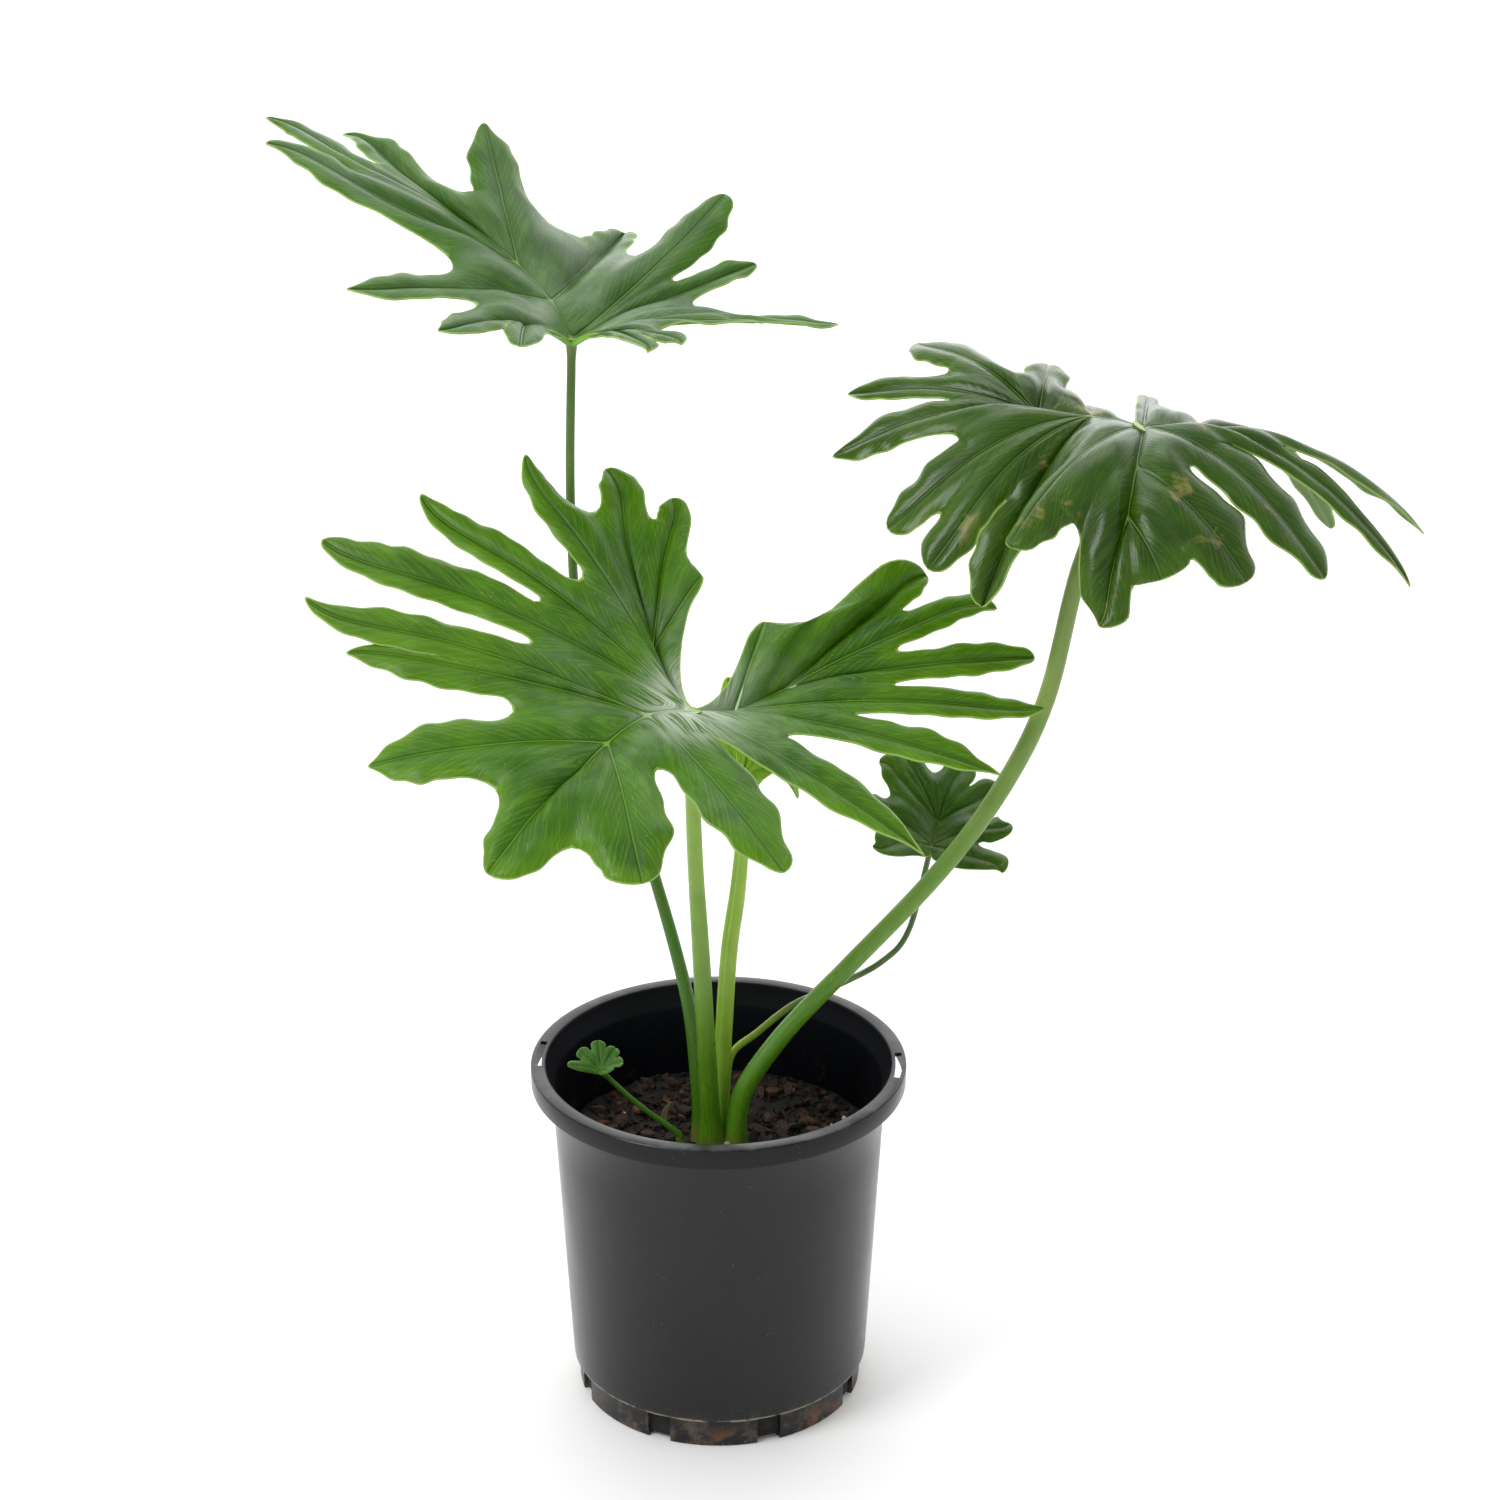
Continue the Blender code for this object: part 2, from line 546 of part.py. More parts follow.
class Blade:
    """The middle surface of a leaf, as points and faces measured from its attachment.

    Each lobe is two patches, one on each side of its vein. A patch starts along a rib, follows the
    web that it shares with the next lobe as far as the notch between them, and then its own margin.
    """

    def __init__(self, leaf, steps, across):
        self.steps, self.across = steps, across
        self.lobes = leaf.lobes
        start = [(0, 0, 0)]
        self.ribs = {key: smooth_route(start + nodes, 2 * across) for key, nodes in leaf.ribs.items()}
        self.points, self.faces, self.numbers = [], [], {}
        self.veins = [self.vein(i) for i in range(len(self.lobes))]
        pairs = range(len(self.lobes) - 1)
        self.paths = [self.path(self.lobes[i].node, self.lobes[i + 1].node) for i in pairs]
        self.webs = [self.web(i) for i in pairs]
        for i in range(len(self.lobes)):
            self.patch(i, -1)
            self.patch(i, 1)

    def place(self, node):
        """A node as its rib's letter and the number of its sample; the attachment is ("", 0)."""
        return ("", 0) if node == "o" else (node[0], 2 * self.across * int(node[1:]))

    def position(self, place):
        return self.ribs[place[0]][place[1]] if place[1] else np.zeros(3)

    def path(self, first, last):
        """The rib samples from one node to another, which pass the attachment between two ribs."""
        (rib, start), (other, end) = self.place(first), self.place(last)
        if rib == other:
            step = 1 if end >= start else -1
            return [(rib, k) for k in range(start, end + step, step)]
        down = [(rib, k) for k in range(start, 0, -1)]
        up = [(other, k) for k in range(1, end + 1)]
        return [*down, ("", 0), *up]

    def halves(self, i):
        """The path between lobes i and i + 1, cut in two, each part running from its own lobe."""
        path = self.paths[i]
        two_ribs = path[0][0] and path[-1][0] and path[0][0] != path[-1][0]
        middle = path.index(("", 0)) if two_ribs else len(path) // 2
        return path[: middle + 1], path[middle:][::-1]

    def vein(self, i):
        """The vein's points and its unit tangents. It bows within the leaf, towards the next lobe."""
        lobe = self.lobes[i]
        start, tip = self.position(self.place(lobe.node)), tip_of(lobe)
        chord = tip - start
        lift = 4 * lobe.arch * np.array([0, 0, 1])
        tips = [tip_of(other) for other in self.lobes[max(0, i - 1) : i + 2]]
        beside = tips[-1] - tips[0]
        beside = unit(beside - chord * (beside @ chord) / (chord @ chord))
        k = HOOKING
        bow = (k + 1) ** (k + 1) / k**k * lobe.sweep * beside  # so that it is sweep at its greatest
        t = np.linspace(0, 1, self.steps + 1)[:, None]
        points = start + t * chord + t * (1 - t) * lift + t**k * (1 - t) * bow
        tangents = chord + (1 - 2 * t) * lift + (k * t ** (k - 1) - (k + 1) * t**k) * bow
        return points, tangents / np.linalg.norm(tangents, axis=1)[:, None]

    def web(self, i):
        """The line midway between the veins of lobes i and i + 1, from their rib to their notch."""
        count = max(1, round(self.lobes[i].join * self.steps))
        near, far = self.veins[i][0], self.veins[i + 1][0]
        base = self.position(self.halves(i)[0][-1])
        line = []
        for j in range(count + 1):
            middle = (near[j] + far[j]) / 2
            pull = (base - (near[0] + far[0]) / 2) * (1 - j / count) ** 2
            swell = PUCKER * np.linalg.norm(near[j] - far[j]) * math.sin(math.pi * j / count)
            line.append(middle + pull + [0, 0, swell])
        return np.array(line)

    def border(self, i, side):
        """The patch's samples along the rib, the web beside them, and which web that is."""
        if side > 0 and i < len(self.webs):
            return self.halves(i)[0], self.webs[i], i
        if side < 0 < i:
            return self.halves(i - 1)[1], self.webs[i - 1], i - 1
        path = self.path(self.lobes[i].node, "o")
        return path, np.array([self.position(path[-1])]), None

    def outward(self, i, side):
        """From the vein towards its notch on one side, across the vein."""
        _, web, _ = self.border(i, side)
        points, tangents = self.veins[i]
        last = len(web) - 1
        across = web[-1] - points[last]
        return across - tangents[last] * (across @ tangents[last])

    def margin(self, i, side):
        """The patch's outer edge: the web as far as the notch, and then the lobe's own margin."""
        lobe = self.lobes[i]
        _, web, _ = self.border(i, side)
        points, tangents = self.veins[i]
        last = len(web) - 1
        outward = self.outward(i, side)
        if np.linalg.norm(outward) < 1e-6:
            outward = -self.outward(i, -side)
        width = lobe.right if side < 0 else lobe.left
        first = unit(outward)
        notch = web[-1] - points[last]
        spare = notch - first * width * margin_width(0, lobe.point)
        run = max(np.linalg.norm(spare), 1e-6)
        length = np.linalg.norm(points[-1] - points[0])
        edge = list(web)
        for j in range(last + 1, self.steps + 1):
            share = (j - last) / (self.steps - last)
            side_way = unit(first - tangents[j] * (first @ tangents[j]))
            up = np.cross(tangents[j], side_way)
            up = up if up[2] > 0 else -up
            cup = math.radians(lobe.cup) * math.sqrt(share)
            side_way = side_way * math.cos(cup) + up * math.sin(cup)
            round_off = min(1, (j - last) / self.steps * length / run)
            fade = (1 - math.sqrt(2 * round_off - round_off**2)) * (1 - share**4)
            reach = width * margin_width(share, lobe.point)
            edge.append(points[j] + side_way * reach + spare * fade)
        return np.array(edge)

    def number(self, key, point):
        """The number of a named point, which is added the first time."""
        if key not in self.numbers:
            self.numbers[key] = len(self.points)
            self.points.append(point)
        return self.numbers[key]

    def patch(self, i, side):
        path, web, web_number = self.border(i, side)
        points, tangents = self.veins[i]
        edge = self.margin(i, side)
        columns = max(len(path) - 1, self.across)
        sampled = [path[round(c * (len(path) - 1) / columns)] for c in range(columns + 1)]
        rows = [[self.number(place, self.position(place)) for place in sampled]]
        for j in range(1, self.steps + 1):
            row = [self.number(("vein", i, j), points[j])]
            over = edge[j] - points[j]
            up = unit(np.cross(tangents[j], over))
            up = up if up[2] > 0 else -up
            for c in range(1, columns + 1):
                share = c / columns
                fade_in = min(1, 4 * j / self.steps)
                swell = PUCKER * np.linalg.norm(over) * math.sin(math.pi * share) * fade_in
                if j == self.steps:
                    row.append(row[0])
                elif c == columns and web_number is not None and j < len(web):
                    row.append(self.number(("web", web_number, j), edge[j]))
                else:
                    row.append(self.number((i, side, j, c), points[j] + over * share + up * swell))
            rows.append(row)
        for low, high in zip(rows, rows[1:]):
            for c in range(columns):
                around = [low[c], low[c + 1], high[c + 1], high[c]]
                face = list(dict.fromkeys(around))
                if len(face) > 2:
                    self.faces.append(face[::side])


def build_leaves():
    for name, leaf in LEAVES.items():
        blade = Blade(leaf, VEIN_STEPS, ACROSS)
        points = np.array(blade.points) + attachment(leaf.petiole)
        made = piece(name, points, blade.faces, sharp=60)
        skin = made.modifiers.new("thickness", "SOLIDIFY")
        skin.thickness = BLADE_THICKNESS * 0.001
        skin.offset = 0


def main():
    for old in list(bpy.data.objects):
        bpy.data.objects.remove(old)
    build_pot()
    build_mix()
    build_crown()
    build_chips()
    build_petioles()
    build_leaves()


main()
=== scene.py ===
"""The looks of a potted philodendron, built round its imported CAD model.

Sizes are in millimetres until mesh_object() turns them into metres. The tables of petioles and
leaves are the part's own: every piece here lies where its CAD node does.
"""

import math
import random
from collections import namedtuple

import bmesh
import bpy
import numpy as np
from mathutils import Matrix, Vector, kdtree, noise


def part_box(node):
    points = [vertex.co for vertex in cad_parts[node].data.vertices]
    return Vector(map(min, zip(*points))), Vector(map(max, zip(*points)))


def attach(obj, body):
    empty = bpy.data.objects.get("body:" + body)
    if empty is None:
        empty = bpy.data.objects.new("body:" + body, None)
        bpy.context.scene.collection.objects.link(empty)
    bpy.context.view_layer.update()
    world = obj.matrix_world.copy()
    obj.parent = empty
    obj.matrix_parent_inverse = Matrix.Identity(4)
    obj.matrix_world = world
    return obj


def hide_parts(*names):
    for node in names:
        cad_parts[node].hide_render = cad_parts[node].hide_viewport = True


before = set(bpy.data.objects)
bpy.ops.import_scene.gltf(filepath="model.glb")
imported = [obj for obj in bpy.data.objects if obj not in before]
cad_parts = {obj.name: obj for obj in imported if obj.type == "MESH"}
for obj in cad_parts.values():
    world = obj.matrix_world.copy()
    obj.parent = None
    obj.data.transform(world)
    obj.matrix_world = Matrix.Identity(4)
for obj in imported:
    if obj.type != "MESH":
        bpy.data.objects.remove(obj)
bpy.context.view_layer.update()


def box_of(node):
    """The two corners of a CAD node's box, in millimetres."""
    return [np.array(corner) * 1000 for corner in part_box(node)]


POT_BOX, CROWN_BOX = box_of("pot"), box_of("crown")

# ---------------------------------------------------------------- pot, mix and crown
RIM_RADIUS = (POT_BOX[1][0] - POT_BOX[0][0]) / 2
POT_HEIGHT = POT_BOX[1][2]
WALL = 1.8
RIM_LEDGE = 8.0
RIM_SKIRT = 11.0
SHOULDER = 13.0
SHOULDER_INSET = 11.0
WALL_DRAFT = 9.0
FOOT_HEIGHT = 17.0
FOOT_INSET = 3.0
FLOOR = 2.5
POT_SIDES = 192
NOTCHES = 8
NOTCH_WIDTH = 13.0
NOTCH_DEPTH = 9.0
NOTCH_TURN = 20.5
SLOT_LENGTH = 28.0
SLOT_WIDTH = 3.6
SLOT_TURN = -4.0
GAP = 0.3
CROWN_RADIUS = (CROWN_BOX[1][0] - CROWN_BOX[0][0]) / 2
CROWN_Y = (CROWN_BOX[1][1] + CROWN_BOX[0][1]) / 2
CROWN_TOP = CROWN_BOX[1][2]
CROWN_RISE = 5.0
MIX_TOP = CROWN_TOP - CROWN_RISE
MIX_ROUGHNESS = 1.2  # of the CAD solid's rough top, on which the seedling stands
MIX_SINK = 1.2  # how far the surface of the mix lies below MIX_TOP, on average
MIX_UNEVEN = 1.6  # height of its humps
MIX_COLOURS = (0.003, 0.002, 0.0015), (0.010, 0.005, 0.003), (0.05, 0.02, 0.008)
LITTER = 580  # flakes of bark that cover the mix
CRUMBS = 900  # crumbs of bark between the flakes
LITTER_COLOURS = (0.004, 0.0025, 0.002), (0.048, 0.020, 0.012), (0.12, 0.046, 0.021)
CHIP_COLOURS = (0.008, 0.004, 0.003), (0.060, 0.024, 0.014), (0.13, 0.050, 0.022)
FLAKE_BEND = 0.012  # a flake rises by so many times its squared distance from its middle
# the place and the size of each bit of perlite
PERLITE = [(68, 24, 4.2), (61, 17, 2.4), (27, -34, 1.8), (-52, 30, 2.2), (10, 58, 2.6), (-30, -52, 1.6)]

# ---------------------------------------------------------------- petioles
# A foot is its place on the crown and its own radius, as shares of the crown's radius. The route
# is measured from the middle of the crown's top.
Petiole = namedtuple("Petiole", "foot route radii")
PETIOLE_SIDES = 28
PETIOLE_STEPS = 10
BLADE_CLEARANCE = 2.4
ROOTING = 6.0  # how far a stalk's foot runs on into the crown or the mix
UNDER_BLADE = 0.3  # how far under the middle of a blade's thickness its stalk ends
FLARE_LENGTH = 24.0  # how far up from its foot a stalk is flared
CREST_LENGTH = 9.0  # how far down from its blade a stalk is thickened
CHANNEL_WIDTH = 0.55  # how far round a stalk its channel reaches to each side, in radians
PETIOLES = {
    "petiole_upper_left": Petiole(
        (-0.58, 0.26, 0.35),
        [(-11, 9, 25), (-17, 24, 68), (-34, 54, 123), (-59, 83, 194), (-75, 102, 244),
         (-79, 114, 319), (-77, 118, 404)],
        (3.6, 2.7, 2.4)),
    "petiole_front": Petiole(
        (-0.26, -0.52, 0.40),
        [(-5, -8, 25), (-9, -4, 108), (-12, 2, 164), (-14, 8, 239)],
        (5.0, 4.2, 3.8)),
    "petiole_right": Petiole(
        (0.52, -0.26, 0.39),
        [(10, -3, 15), (16, 0, 31), (33, 6, 54), (51, 12, 73), (71, 17, 93), (116, 28, 140),
         (149, 38, 184), (172, 45, 233), (187, 49, 303), (205, 49, 355), (216, 48, 379)],
        (4.9, 5.0, 4.1)),
    "petiole_back": Petiole(
        (0.27, 0.76, 0.12),
        [(4, 15, 16), (7, 19, 37), (20, 24, 47), (40, 32, 60), (63, 41, 67), (88, 54, 75),
         (103, 59, 92), (114, 63, 138)],
        (2.0, 1.8, 1.5)),
    "petiole_new": Petiole(
        (0.03, 0.42, 0.22), [(1, 9, 25), (5, 13, 96), (10, 22, 132), (13, 27, 165)],
        (4.8, 4.6, 3.6)),
}
# The seedling grows from the mix. Its route is a share of the way from the crown to the wall, and
# a height above the mix.
SEEDLING_TURN = 185.5  # degrees from +X
SEEDLING_ROUTE = [(0.08, GAP), (0.11, 5), (0.39, 22), (0.66, 42)]
SEEDLING_RADII = (1.9, 1.5, 1.3)

# ---------------------------------------------------------------- leaves
# A lobe's tip is given by its bearing from +X in degrees, and by its reach and rise from the leaf's
# attachment. arch lifts the middle of its vein, left and right are its half widths, join is the
# share of the vein that its web shares with the next lobe, and sweep bows the vein to the left, which
# hooks the tip. point sharpens the tip from 0.5, which is round, and cup turns the free sides up.
Lobe = namedtuple(
    "Lobe", "node bearing reach rise arch left right join sweep point cup", defaults=(0, 0.6, 0)
)
Leaf = namedtuple("Leaf", "petiole ribs lobes")
BLADE_THICKNESS = 0.7
VEIN_STEPS = 32
ACROSS = 5
WAVE = 0.16  # depth of the waves in a margin, as a share of the lobe's half width
WAVE_LENGTH = 34.0
GROOVE_DEPTH = 0.6  # of the groove over a full-grown leaf's vein
GROOVE_REACH = 1.8  # how far to each side the groove reaches
RIB_RADII = (2.0, 1.0)  # of a full-grown leaf's rib, where it starts and where it ends
VEIN_RADII = (1.1, 0.25)
FULL_GROWN = 150.0  # the longest reach of a leaf whose veins are full-grown
RIPPLE = 22.0  # size of a ripple in a margin
RIPPLE_RISE = 3.0
RIPPLE_REACH = 14.0  # how far in from the margin ripples reach
RIPPLE_FADE = 6.0  # how near a vein they start to fade away
PUCKER = 0.15  # swelling between two veins, as a share of the space between them
HOOKING = 6  # how near the tip a vein bows
LEAVES = {
    "leaf_front": Leaf(
        "petiole_front",
        {"l": [(-9, 13, 7), (-20, 32, 19)],
         "m": [(-21, -12, 2), (-41, -34, -4), (-58, -56, -14)],
         "r": [(23, 9, -4), (49, 22, 3)]},
        [Lobe("l2", 85, 66, 50, 2, 6, 6, 0.85),
         Lobe("l2", 96, 107, 80, 3, 10, 9, 0.75, -4, 0.8),
         Lobe("l2", 113, 122, 94, 3, 13, 12, 0.72, -6, 1.0),
         Lobe("l1", 132, 131, 108, 3, 10, 9, 0.48, 5, 1.0),
         Lobe("o", 149, 167, 90, 6, 9, 12, 0.46, 7, 0.8),
         Lobe("o", 163, 203, 73, 9, 11, 16, 0.36, 6, 0.6),
         Lobe("m1", 171, 203, 52, 4, 11, 12, 0.44, 8, 1.1),
         Lobe("m1", 178, 178, 29, 5, 15, 10, 0.40, -2, 1.0),
         Lobe("m2", 195, 169, -13, 5, 18, 18, 0.55, 0, 1.4),
         Lobe("m3", 225, 140, -48, 3, 17, 14, 0.74, 0, 1.2),
         Lobe("m2", 259, 112, -48, 4, 20, 19, 0.30),
         Lobe("m1", 297, 107, -49, 5, 21, 18, 0.20, 0, 0.7),
         Lobe("o", 332, 136, -54, 6, 13, 15, 0.32, 0, 1.8),
         Lobe("r1", 352, 162, -27, 5, 12, 12, 0.40, 0, 1.6),
         Lobe("r1", 6, 187, -6, 5, 10, 10, 0.48, -4, 0.9),
         Lobe("r2", 14, 187, 11, 4, 10, 10, 0.48),
         Lobe("r2", 23, 177, 29, 7, 9, 8, 0.68, 6, 0.8),
         Lobe("r2", 34, 152, 43, 3, 17, 11, 0.80, 3, 0.8),
         Lobe("r1", 39, 50, 37, 2, 7, 12, 0)]),
    "leaf_upper_left": Leaf(
        "petiole_upper_left",
        {"r": [(10, -14, 8), (22, -24, 11)],
         "m": [(-11, 15, 17), (-29, 35, 31), (-51, 55, 44)],
         "l": [(-10, -14, 10), (-22, -26, 15)]},
        [Lobe("r2", 300, 83, 14, 3, 7, 7, 0.60, 3, 1.2),
         Lobe("r2", 314, 85, 15, 3, 9, 9, 0.50, 3, 1.2),
         Lobe("r1", 349, 104, 15, 3, 6, 6, 0.72),
         Lobe("r1", 4, 142, 6, 5, 9, 8, 0.52, -5, 1.2),
         Lobe("o", 32, 116, 25, 0, 10, 10, 0.55),
         Lobe("o", 48, 122, 57, -4, 16, 15, 0.64),
         Lobe("m1", 79, 127, 25, -2, 14, 14, 0.55),
         Lobe("m2", 113, 133, 89, -2, 14, 15, 0.48, 0, 1.0),
         Lobe("m3", 135, 187, 79, 0, 13, 12, 0.58, -7, 1.1),
         Lobe("m3", 148, 201, 95, 0, 13, 12, 0.66, -8, 1.1),
         Lobe("m2", 158, 179, 89, 0, 16, 17, 0.36, -7, 1.1),
         Lobe("m1", 193, 118, 35, 3, 14, 14, 0.42, 3, 1.2),
         Lobe("l2", 226, 93, 24, 3, 14, 13, 0.35, 3, 1.0),
         Lobe("l2", 253, 75, 17, 3, 11, 10, 0)]),
    "leaf_right": Leaf(
        "petiole_right",
        {"l": [(-25, 15, 1), (-51, 30, -4)],
         "m": [(-7, -35, -10), (-13, -60, -28)],
         "r": [(25, 5, -2), (50, 15, -11)]},
        [Lobe("l1", 116, 66, -10, 3, 8, 7, 0.65),
         Lobe("l2", 117, 93, 8, 4, 12, 12, 0.50),
         Lobe("l2", 135, 158, 12, 9, 13, 15, 0.55, 3, 0.8),
         Lobe("l2", 151, 171, -8, 9, 9, 9, 0.45, 3, 1.2),
         Lobe("l2", 164, 165, -31, 12, 14, 12, 0.52, 2, 1.0),
         Lobe("l1", 180, 131, -56, 14, 13, 15, 0.80, 2),
         Lobe("l1", 195, 115, -68, 16, 12, 15, 0.62, 2),
         Lobe("l1", 208, 94, -84, 14, 17, 16, 0.45),
         Lobe("o", 223, 100, -42, 15, 18, 15, 0.68),
         Lobe("m2", 252, 94, -76, 3, 13, 13, 0.85, 2, 2.2),
         Lobe("m2", 272, 84, -53, 3, 14, 13, 0.80, 0, 1.2),
         Lobe("m1", 301, 90, -57, 8, 21, 16, 0.32),
         Lobe("o", 331, 103, -66, 17, 19, 19, 0.32),
         Lobe("r1", 357, 142, -86, 20, 11, 11, 0.35, 2, 1.2),
         Lobe("r2", 11, 157, -69, 16, 12, 12, 0.40, -2, 1.2),
         Lobe("r2", 30, 128, -78, 14, 9, 9, 0.40),
         Lobe("r1", 56, 78, -28, 4, 12, 12, 0.50),
         Lobe("o", 82, 72, -6, 3, 6, 6, 0)]),
    "leaf_back": Leaf(
        "petiole_back",
        {"m": [(4, 14, 8)]},
        [Lobe("o", 325, 45, -5, 2, 10, 10, 0.60, 3, 1.2),
         Lobe("o", 7, 43, 11, 2, 9, 9, 0.65, -3, 1.2),
         Lobe("m1", 37, 50, 16, 2, 9, 9, 0.70, 3, 1.2),
         Lobe("m1", 70, 47, 30, 2, 9, 9, 0.70, -3, 1.2),
         Lobe("m1", 107, 48, 40, 2, 9, 9, 0.70, 3, 1.2),
         Lobe("m1", 131, 43, 35, 2, 9, 9, 0.65, -3, 1.2),
         Lobe("o", 165, 41, 24, 2, 10, 10, 0.55, 3, 1.2),
         Lobe("o", 212, 39, 9, 2, 10, 10, 0, 3, 1.2)]),
    "leaf_new": Leaf(
        "petiole_new",
        {"m": [(-2, 4, 22)]},
        [Lobe("m1", 2, 29, 15, 14, 6, 5, 0.45, 0, 0.8, 20),
         Lobe("m1", 60, 20, 58, 2, 6, 6, 0.60, 0, 0.8, 20),
         Lobe("m1", 125, 14, 81, 0, 7, 7, 0.60, 0, 0.8, 20),
         Lobe("m1", 165, 18, 50, 0, 5, 5, 0.60, 0, 0.8, 20),
         Lobe("o", 180, 12, 20, 0, 4, 5, 0, 0, 0.8, 20)]),
    "leaf_seedling": Leaf(
        "petiole_seedling",
        {},
        [Lobe("o", 300, 9, 3, 1, 4, 4, 0.70),
         Lobe("o", 0, 12, 5, 1, 4, 4, 0.70),
         Lobe("o", 50, 12, 9, 1, 4, 4, 0.70),
         Lobe("o", 100, 12, 12, 1, 4, 4, 0.70),
         Lobe("o", 150, 14, 9, 1, 4, 4, 0.70),
         Lobe("o", 190, 18, 5, 1, 3, 3, 0)]),
}


# ---------------------------------------------------------------- materials


class Value:
    """What a node gives. Values can be added, subtracted and multiplied."""

    def __init__(self, nodes, socket):
        self.nodes, self.socket = nodes, socket

    def __add__(self, other):
        return self.nodes.math("ADD", self, other)

    def __sub__(self, other):
        return self.nodes.math("SUBTRACT", self, other)

    def __mul__(self, other):
        return self.nodes.math("MULTIPLY", self, other)

    def span(self, low, high, start=0.0, end=1.0):
        """The value mapped smoothly from low..high to start..end, and held there."""
        inputs = (self, low, high, start, end)
        return self.nodes.node("ShaderNodeMapRange", inputs, interpolation_type="SMOOTHSTEP")


class Nodes:
    """The node tree of a material or of the world."""

    def __init__(self, made):
        made.use_nodes = True
        self.made, self.tree = made, made.node_tree

    def node(self, kind, inputs=(), output=0, **settings):
        """Adds a node, feeds its inputs, in order or by their names, and returns one output."""
        made = self.tree.nodes.new(kind)
        for key, value in settings.items():
            setattr(made, key, value)
        for key, value in inputs.items() if isinstance(inputs, dict) else enumerate(inputs):
            self.feed(made.inputs[key], value)
        return Value(self, made.outputs[output])

    def feed(self, socket, value):
        """Links a value to an input, or sets the input's plain number or colour."""
        if isinstance(value, Value):
            self.tree.links.new(value.socket, socket)
        else:
            socket.default_value = (*value, 1) if socket.type == "RGBA" else value

    def math(self, operation, *inputs):
        return self.node("ShaderNodeMath", inputs, operation=operation)


class Look(Nodes):
    """A Principled material, with short ways to add the nodes of its pattern.

    Its places and heights are in metres. The colour is built up in self.colour."""

    def __init__(self, name, **sockets):
        super().__init__(bpy.data.materials.new(name))
        self.shader = self.tree.nodes["Principled BSDF"]
        self.place = self.node("ShaderNodeTexCoord", output="Object")
        for socket, value in sockets.items():
            self.feed(self.shader.inputs[socket.replace("_", " ")], value)

    def attribute(self, name):
        return self.node("ShaderNodeAttribute", output="Fac", attribute_name=name)

    def height(self):
        """The height of the place on the object."""
        return self.node("ShaderNodeSeparateXYZ", (self.place,), "Z")

    def stretched(self, x, y, z):
        """The place on the object, scaled apart along each axis."""
        return self.node("ShaderNodeMapping", {"Vector": self.place, "Scale": (x, y, z)})

    def joined(self, x, y, z):
        return self.node("ShaderNodeCombineXYZ", (x, y, z))

    def noise(self, scale, detail=3.0, rough=0.55, place=None, turn=0.0):
        inputs = {"Vector": place or self.place, "Scale": scale, "Detail": detail,
                  "Roughness": rough, "Distortion": turn}
        return self.node("ShaderNodeTexNoise", inputs, "Fac")

    def cells(self, scale, place=None):
        """The distance from the nearest of many scattered spots."""
        inputs = {"Vector": place or self.place, "Scale": scale}
        return self.node("ShaderNodeTexVoronoi", inputs, "Distance", feature="F1")

    def mix(self, share, first, second):
        # a colour mix keeps its two colours in inputs 6 and 7, and gives output 2
        inputs = {"Factor": share, 6: first, 7: second}
        return self.node("ShaderNodeMix", inputs, 2, data_type="RGBA", blend_type="MIX")

    def base(self, share, first, second):
        """The colour that tints are laid over: a mix of two."""
        self.colour = self.mix(share, first, second)

    def tint(self, share, colour):
        """Lays a share of another colour over the colour so far."""
        self.colour = self.mix(share, self.colour, colour)

    def bump(self, height, strength, distance, under=None):
        inputs = {"Strength": strength, "Distance": distance, "Height": height}
        if under is not None:
            inputs["Normal"] = under
        return self.node("ShaderNodeBump", inputs)

    def finish(self, roughness=None, normal=None):
        ends = {"Base Color": self.colour, "Roughness": roughness, "Normal": normal}
        for socket, value in ends.items():
            if value is not None:
                self.feed(self.shader.inputs[socket], value)
        return self.made


def shaded_inside_plastic():
    """The same plastic inside the pot: duller, and darker and bluer than outside as painted shade, with
    splashes of mix low down.
    """
    look = Look("black_plastic_inside", Specular_IOR_Level=0.14)
    look.base(look.noise(22, 4), (0.0018, 0.0022, 0.0042), (0.0042, 0.0048, 0.0085))
    splashes = look.noise(80, 5, 0.7).span(0.55, 0.70, 0, 0.5)
    look.tint(splashes * look.height().span(0.145, 0.175, 1, 0.1), (0.045, 0.028, 0.020))
    return look.finish(0.42, look.bump(look.noise(700, 3), 0.12, 0.0003))


